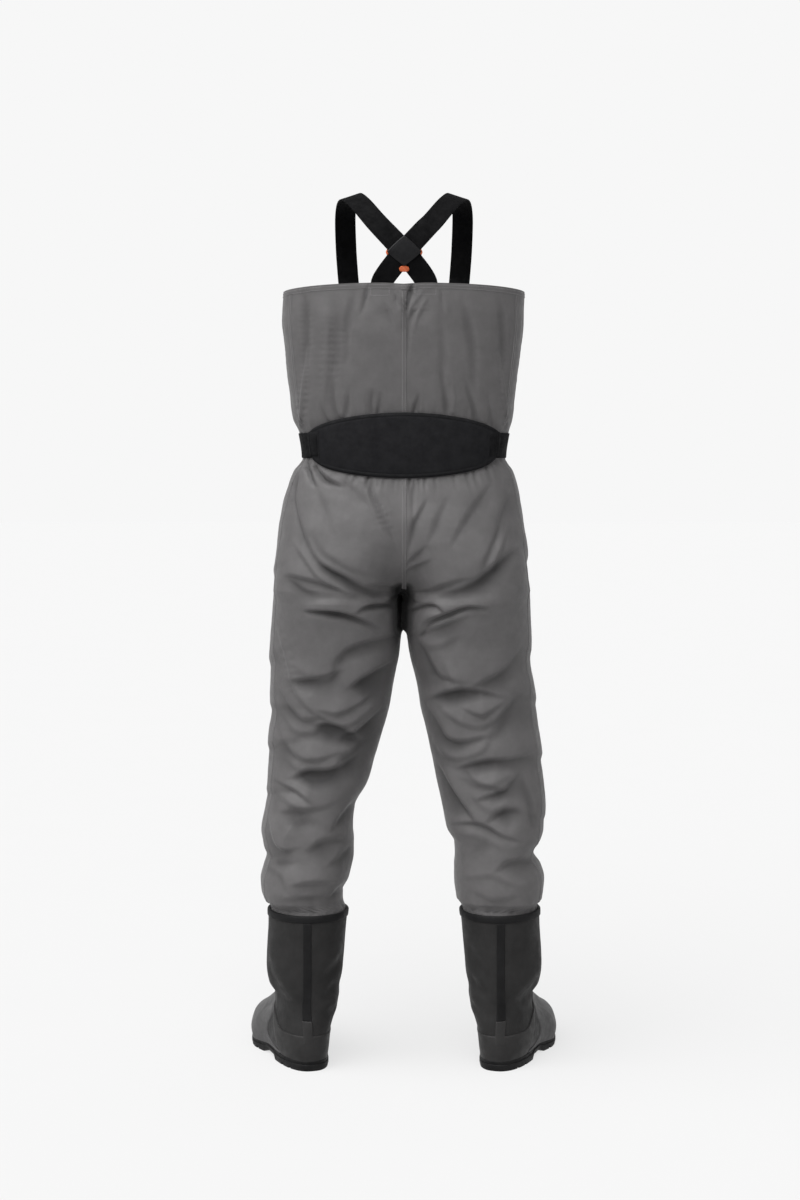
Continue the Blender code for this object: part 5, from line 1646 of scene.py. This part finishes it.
def build_patch(name, sizes, offset, finish, *nodes):
    """A diamond of leather on the crossing; the black one has a darker glossy edge, partly painted shadow
    below.
    """
    points, u, v = patch_points(*sizes, offset)
    made = skin(name, points, finish, 1, *nodes)
    if finish == "patch_leather":
        made.data.materials.append(look("patch_edge_and_shadow"))
        reach, low = np.maximum(np.abs(u), np.abs(v)).ravel(), (u - v).ravel()
        for face in made.data.polygons:
            corners = list(face.vertices)
            # Along the lower edges the dark band is wider, partly the patch's edge and partly painted shadow
            band = PATCH_SHADOW_BAND if low[corners].mean() < PATCH_LOW else PATCH_BAND
            if reach[corners].mean() > 1 - band:
                face.material_index = 1
    thicken(made, PATCH_WALL)


def build_braces():
    lift = BRACE_THICK + LIFT_CLEAR
    build_brace("brace_left", -1, 0.0)
    build_brace("brace_right", 1, lift)
    over = lift + BRACE_THICK / 2 + PATCH_CLEAR
    build_patch("crosspatch_leather", PATCH_SIZES, over, "patch_leather", "crosspatch")
    under = -BRACE_THICK / 2 - PATCH_CLEAR - PATCH_THICK
    build_patch("crosspatch_back", BACKING_SIZES, under, "tan_leather", "crosspatch_backing")
    build_patch("crosspatch_tab", TAB_SIZES, over - PATCH_CLEAR, "tan_leather")


# Materials

Look = namedtuple("Look", "slot dark light mottle rough grain depth weave weave_depth sheen coat wear")
LOOKS = {
    "shell_fabric": Look(
        "shell_fabric", (0.076, 0.0732, 0.074), (0.090, 0.0867, 0.0876), 30, (0.46, 0.58), 200, 0.00022,
        0.0010, 0.00010, 0.04, 0.0, 0.0,
    ),
    "lining": Look(
        "shell_fabric", (0.060, 0.059, 0.061), (0.085, 0.083, 0.085), 11, (0.60, 0.74), 130, 0.00045,
        0.0010, 0.00010, 0.10, 0.0, 0.0,
    ),
    "thread": Look(
        "shell_fabric", (0.17, 0.168, 0.17), (0.25, 0.247, 0.25), 90, (0.55, 0.70), 900, 0.0001,
        0.0, 0.0, 0.2, 0.0, 0.0,
    ),
    "boot_cloth": Look(
        "neoprene", (0.0135, 0.0131, 0.0131), (0.0190, 0.0185, 0.0185), 26, (0.52, 0.68), 520, 0.00030,
        0.0014, 0.00010, 0.02, 0.0, 0.10,
    ),
    "flex_rubber": Look(
        "boot_rubber", (0.018, 0.0176, 0.0178), (0.025, 0.0244, 0.0247), 34, (0.46, 0.62), 700, 0.00020,
        0.0, 0.0, 0.0, 0.03, 0.15,
    ),
    "boot_rubber": Look(
        "boot_rubber", (0.0155, 0.0150, 0.0150), (0.0228, 0.0221, 0.0221), 30, (0.44, 0.60), 800, 0.00016,
        0.0, 0.0, 0.0, 0.04, 0.20,
    ),
    "toe_rubber": Look(
        "toe_rubber", (0.046, 0.0451, 0.0458), (0.062, 0.0608, 0.0617), 34, (0.44, 0.58), 900, 0.00014,
        0.0, 0.0, 0.0, 0.05, 0.20,
    ),
    "strip_rubber": Look(
        "sole_rubber", (0.0050, 0.0049, 0.0052), (0.0084, 0.0083, 0.0087), 40, (0.50, 0.66), 900, 0.00012,
        0.0, 0.0, 0.0, 0.02, 0.15,
    ),
    "sole_rubber": Look(
        "sole_rubber", (0.0045, 0.0045, 0.0048), (0.0090, 0.0089, 0.0091), 42, (0.50, 0.68), 600, 0.00022,
        0.0, 0.0, 0.0, 0.02, 0.25,
    ),
    "webbing": Look(
        "black_webbing", (0.003, 0.003, 0.0034), (0.008, 0.008, 0.0086), 60, (0.60, 0.80), 1400, 0.00008,
        0.0016, 0.00028, 0.0, 0.0, 0.15,
    ),
    "brace_webbing": Look(
        "black_webbing", (0.0018, 0.0018, 0.0021), (0.0045, 0.0045, 0.0049), 60, (0.60, 0.80), 1400, 0.00008,
        0.0018, 0.00030, 0.0, 0.0, 0.10,
    ),
    "pad_knit": Look(
        "pad_neoprene", (0.0065, 0.0065, 0.0074), (0.0105, 0.0105, 0.0116), 48, (0.65, 0.85), 900, 0.00012,
        0.0013, 0.00018, 0.02, 0.0, 0.10,
    ),
    "pad_binding": Look(
        "pad_neoprene", (0.0048, 0.0048, 0.0054), (0.0085, 0.0085, 0.0094), 70, (0.60, 0.80), 1400, 0.00008,
        0.0011, 0.00014, 0.0, 0.0, 0.10,
    ),
    "patch_leather": Look(
        "patch_leather", (0.0050, 0.0050, 0.0057), (0.0090, 0.0090, 0.0098), 90, (0.50, 0.66), 900, 0.00026,
        0.0, 0.0, 0.0, 0.02, 0.10,
    ),
    # Darker glossy edge of the patch, wider along its lower edges as painted shadow
    "patch_edge_and_shadow": Look(
        "patch_leather", (0.0025, 0.0025, 0.0029), (0.006, 0.006, 0.0066), 90, (0.26, 0.40), 1100, 0.00010,
        0.0, 0.0, 0.0, 0.18, 0.25,
    ),
    "tan_leather": Look(
        "tan_leather", (0.36, 0.075, 0.026), (0.54, 0.125, 0.045), 120, (0.42, 0.60), 1000, 0.00020,
        0.0, 0.0, 0.0, 0.06, 0.20,
    ),
    "felt": Look(
        "insole_felt", (0.042, 0.042, 0.044), (0.085, 0.085, 0.088), 150, (0.85, 0.98), 1500, 0.00040,
        0.0, 0.0, 0.40, 0.0, 0.0,
    ),
    "floor": Look(
        None, (0.141, 0.141, 0.141), (0.143, 0.143, 0.143), 3, (0.60, 0.70), 300, 0.00005,
        0.0, 0.0, 0.0, 0.0, 0.0,
    ),
}
SPECULAR = {
    "boot_cloth": 0.11,
    "flex_rubber": 0.12,
    "boot_rubber": 0.13,
    "toe_rubber": 0.14,
    "strip_rubber": 0.10,
    "sole_rubber": 0.10,
    "patch_leather": 0.10,
    "patch_edge_and_shadow": 0.10,
    "webbing": 0.06,
    "brace_webbing": 0.05,
    "pad_knit": 0.07,
    "pad_binding": 0.10,
    "floor": 0.0,
}
# The floor is a lit table, so that its shadows stay pale
GLOW = {"floor": 0.68}
# Depths at which painted shade starts and stops darkening a fold, and its darkest share of the colour
FOLD_SHADE_DEPTHS = (-0.0010, -0.0085)
FOLD_SHADE = 0.42
# Depths between which the cleft of the thighs turns from a fold's painted shade to its own painted shadow
CLEFT_SHADOW_DEPTHS = (-0.012, -0.019)
CLEFT_SHADOW_COLOUR = (0.003, 0.003, 0.003)
LEATHERS = ("patch_leather", "patch_edge_and_shadow", "tan_leather")
WAVE_LENGTH = 0.314
# Noise between which colour and gloss change, finer scale of the gloss, worn edges and how much lighter
# they are
MOTTLE_RANGE = (0.34, 0.66)
SMUDGE_RANGE = (0.35, 0.65)
SMUDGE_SCALE = 2.7
WEAR_RANGE = (0.505, 0.56)
WEAR_LIGHT = 2.2
USUAL_SPECULAR = 0.25
SHEEN_ROUGHNESS = 0.5
COAT_ROUGHNESS = 0.35
FLOOR_HALF = 30


def add(tree, kind, inputs=None, **settings):
    """A node with its settings, and its sockets linked or set."""
    node = tree.nodes.new(kind)
    for name, value in settings.items():
        setattr(node, name, value)
    for name, value in (inputs or {}).items():
        if isinstance(value, bpy.types.NodeSocket):
            tree.links.new(value, node.inputs[name])
        else:
            node.inputs[name].default_value = value
    return node


def mixed(tree, factor, first, second):
    """A colour between two, each given as a socket or as red, green and blue."""
    node = tree.nodes.new("ShaderNodeMix")
    node.data_type = "RGBA"
    tree.links.new(factor, node.inputs[0])
    for place, value in ((6, first), (7, second)):
        if isinstance(value, bpy.types.NodeSocket):
            tree.links.new(value, node.inputs[place])
        else:
            node.inputs[place].default_value = (*value, 1)
    return node.outputs[2]


def ranged(tree, value, start, end, low=0.0, high=1.0):
    inputs = {"Value": value, "From Min": start, "From Max": end, "To Min": low, "To Max": high}
    return add(tree, "ShaderNodeMapRange", inputs).outputs["Result"]


def noise_node(tree, spot, scale, detail=4.0, roughness=0.5):
    inputs = {"Vector": spot, "Scale": scale, "Detail": detail, "Roughness": roughness}
    return add(tree, "ShaderNodeTexNoise", inputs).outputs["Fac"]


def look(name):
    """The procedural material of a surface: mottled colour, worn high edges, grain, weave and gloss, with
    painted shade in the cloth's folds and a painted shadow in the cleft between the thighs.
    """
    made = bpy.data.materials.get("look_" + name)
    if made:
        return made
    want = LOOKS[name]
    made = bpy.data.materials.new("look_" + name)
    made.use_nodes = True
    tree = made.node_tree
    shader = tree.nodes["Principled BSDF"]
    place = add(tree, "ShaderNodeTexCoord")
    spot = place.outputs["Object"]
    mottle = noise_node(tree, spot, want.mottle, detail=6.0, roughness=0.65)
    colour = mixed(tree, ranged(tree, mottle, *MOTTLE_RANGE), want.dark, want.light)
    if want.wear:
        high_spots = add(tree, "ShaderNodeNewGeometry").outputs["Pointiness"]
        worn = ranged(tree, high_spots, *WEAR_RANGE, 0.0, want.wear)
        colour = mixed(tree, worn, colour, tuple(WEAR_LIGHT * part for part in want.light))
    if name == "shell_fabric":
        # Painted shade: the cloth's colour darkens with the depth of its folds and turns near black as
        # painted shadow in the cleft
        fold = add(tree, "ShaderNodeAttribute", attribute_name="fold").outputs["Fac"]
        shade = tuple(FOLD_SHADE * part for part in want.dark)
        colour = mixed(tree, ranged(tree, fold, *FOLD_SHADE_DEPTHS), colour, shade)
        colour = mixed(tree, ranged(tree, fold, *CLEFT_SHADOW_DEPTHS), colour, CLEFT_SHADOW_COLOUR)
    tree.links.new(colour, shader.inputs["Base Color"])
    smudge = noise_node(tree, spot, SMUDGE_SCALE * want.mottle)
    tree.links.new(ranged(tree, smudge, *SMUDGE_RANGE, *want.rough), shader.inputs["Roughness"])
    if name in LEATHERS:
        grain = add(tree, "ShaderNodeTexVoronoi", {"Vector": spot, "Scale": want.grain}).outputs["Distance"]
    else:
        grain = noise_node(tree, spot, want.grain)
    bump = add(tree, "ShaderNodeBump", {"Height": grain, "Distance": want.depth, "Strength": 1.0})
    if want.weave:
        inputs = {"Vector": place.outputs["UV"], "Scale": WAVE_LENGTH / want.weave}
        bands = [
            add(tree, "ShaderNodeTexWave", inputs, bands_direction=direction).outputs["Fac"]
            for direction in ("X", "Y")
        ]
        both = add(tree, "ShaderNodeMath", operation="MULTIPLY")
        for socket, band in zip(both.inputs, bands):
            tree.links.new(band, socket)
        inputs = {"Height": both.outputs[0], "Distance": want.weave_depth, "Normal": bump.outputs["Normal"]}
        bump = add(tree, "ShaderNodeBump", inputs)
    tree.links.new(bump.outputs["Normal"], shader.inputs["Normal"])
    shader.inputs["Specular IOR Level"].default_value = SPECULAR.get(name, USUAL_SPECULAR)
    shader.inputs["Emission Strength"].default_value = GLOW.get(name, 0.0)
    shader.inputs["Sheen Weight"].default_value = want.sheen
    shader.inputs["Sheen Roughness"].default_value = SHEEN_ROUGHNESS
    shader.inputs["Coat Weight"].default_value = want.coat
    shader.inputs["Coat Roughness"].default_value = COAT_ROUGHNESS
    return made


# Floor, light and camera


def build_floor():
    """A wide, plain, pale floor."""
    ends, wide = (-FLOOR_HALF, FLOOR_HALF), 2 * FLOOR_HALF
    points = np.array([(x, y, 0.0) for x in ends for y in ends]) - np.array(SHIFT)
    uvs = [(0, 0), (wide, 0), (wide, wide), (0, wide)]
    mesh_object("studio_floor", points, [(0, 2, 3, 1)], uvs, "floor")


def sun(name, height, turn, spread, power):
    """A soft distant lamp; height and turn are degrees, the turn being to the left as the camera sees it."""
    lamp = bpy.data.lights.new(name, "SUN")
    lamp.energy = power
    lamp.angle = math.radians(spread)
    made = bpy.data.objects.new(name, lamp)
    bpy.context.scene.collection.objects.link(made)
    made.rotation_euler = (math.radians(90 - height), 0, math.radians(-turn))


def build_sky():
    """An even pale backdrop whose light is strongest from behind the object and weak from overhead."""
    world = bpy.data.worlds.new("studio")
    bpy.context.scene.world = world
    world.use_nodes = True
    tree = world.node_tree
    direction = add(tree, "ShaderNodeTexCoord").outputs["Generated"]
    parts = add(tree, "ShaderNodeSeparateXYZ", {"Vector": direction}).outputs
    pale = ranged(tree, parts["Z"], *SKY_FADE, *SKY_STRENGTH)
    ahead = ranged(tree, parts["Y"], *SKY_AHEAD, SKY_BEHIND, 1.0)
    both = add(tree, "ShaderNodeMath", {0: pale, 1: ahead}, operation="MULTIPLY").outputs[0]
    seen = add(tree, "ShaderNodeLightPath").outputs["Is Camera Ray"]
    backdrop = add(tree, "ShaderNodeMath", {0: seen, 1: SKY_STRENGTH[0]}, operation="MULTIPLY").outputs[0]
    strength = add(tree, "ShaderNodeMath", {0: both, 1: backdrop}, operation="MAXIMUM").outputs[0]
    tree.links.new(strength, tree.nodes["Background"].inputs["Strength"])
    tree.nodes["Background"].inputs["Color"].default_value = (1, 1, 1, 1)


def build_stage():
    build_floor()
    build_sky()
    for lamp in SUNS:
        sun(*lamp)
    scene = bpy.context.scene
    scene.view_settings.view_transform = "Standard"
    view = bpy.data.cameras.new("camera")
    view.lens = CAMERA_LENS
    made = bpy.data.objects.new("camera", view)
    scene.collection.objects.link(made)
    made.location = CAMERA_PLACE + SHIFT
    made.rotation_euler = (math.pi / 2 - CAMERA_TILT, 0, 0)
    scene.camera = made


def main():
    shell = Shell()
    build_seams(shell)
    build_boots()
    build_belt()
    build_braces()
    build_stage()
    bpy.context.view_layer.update()


main()
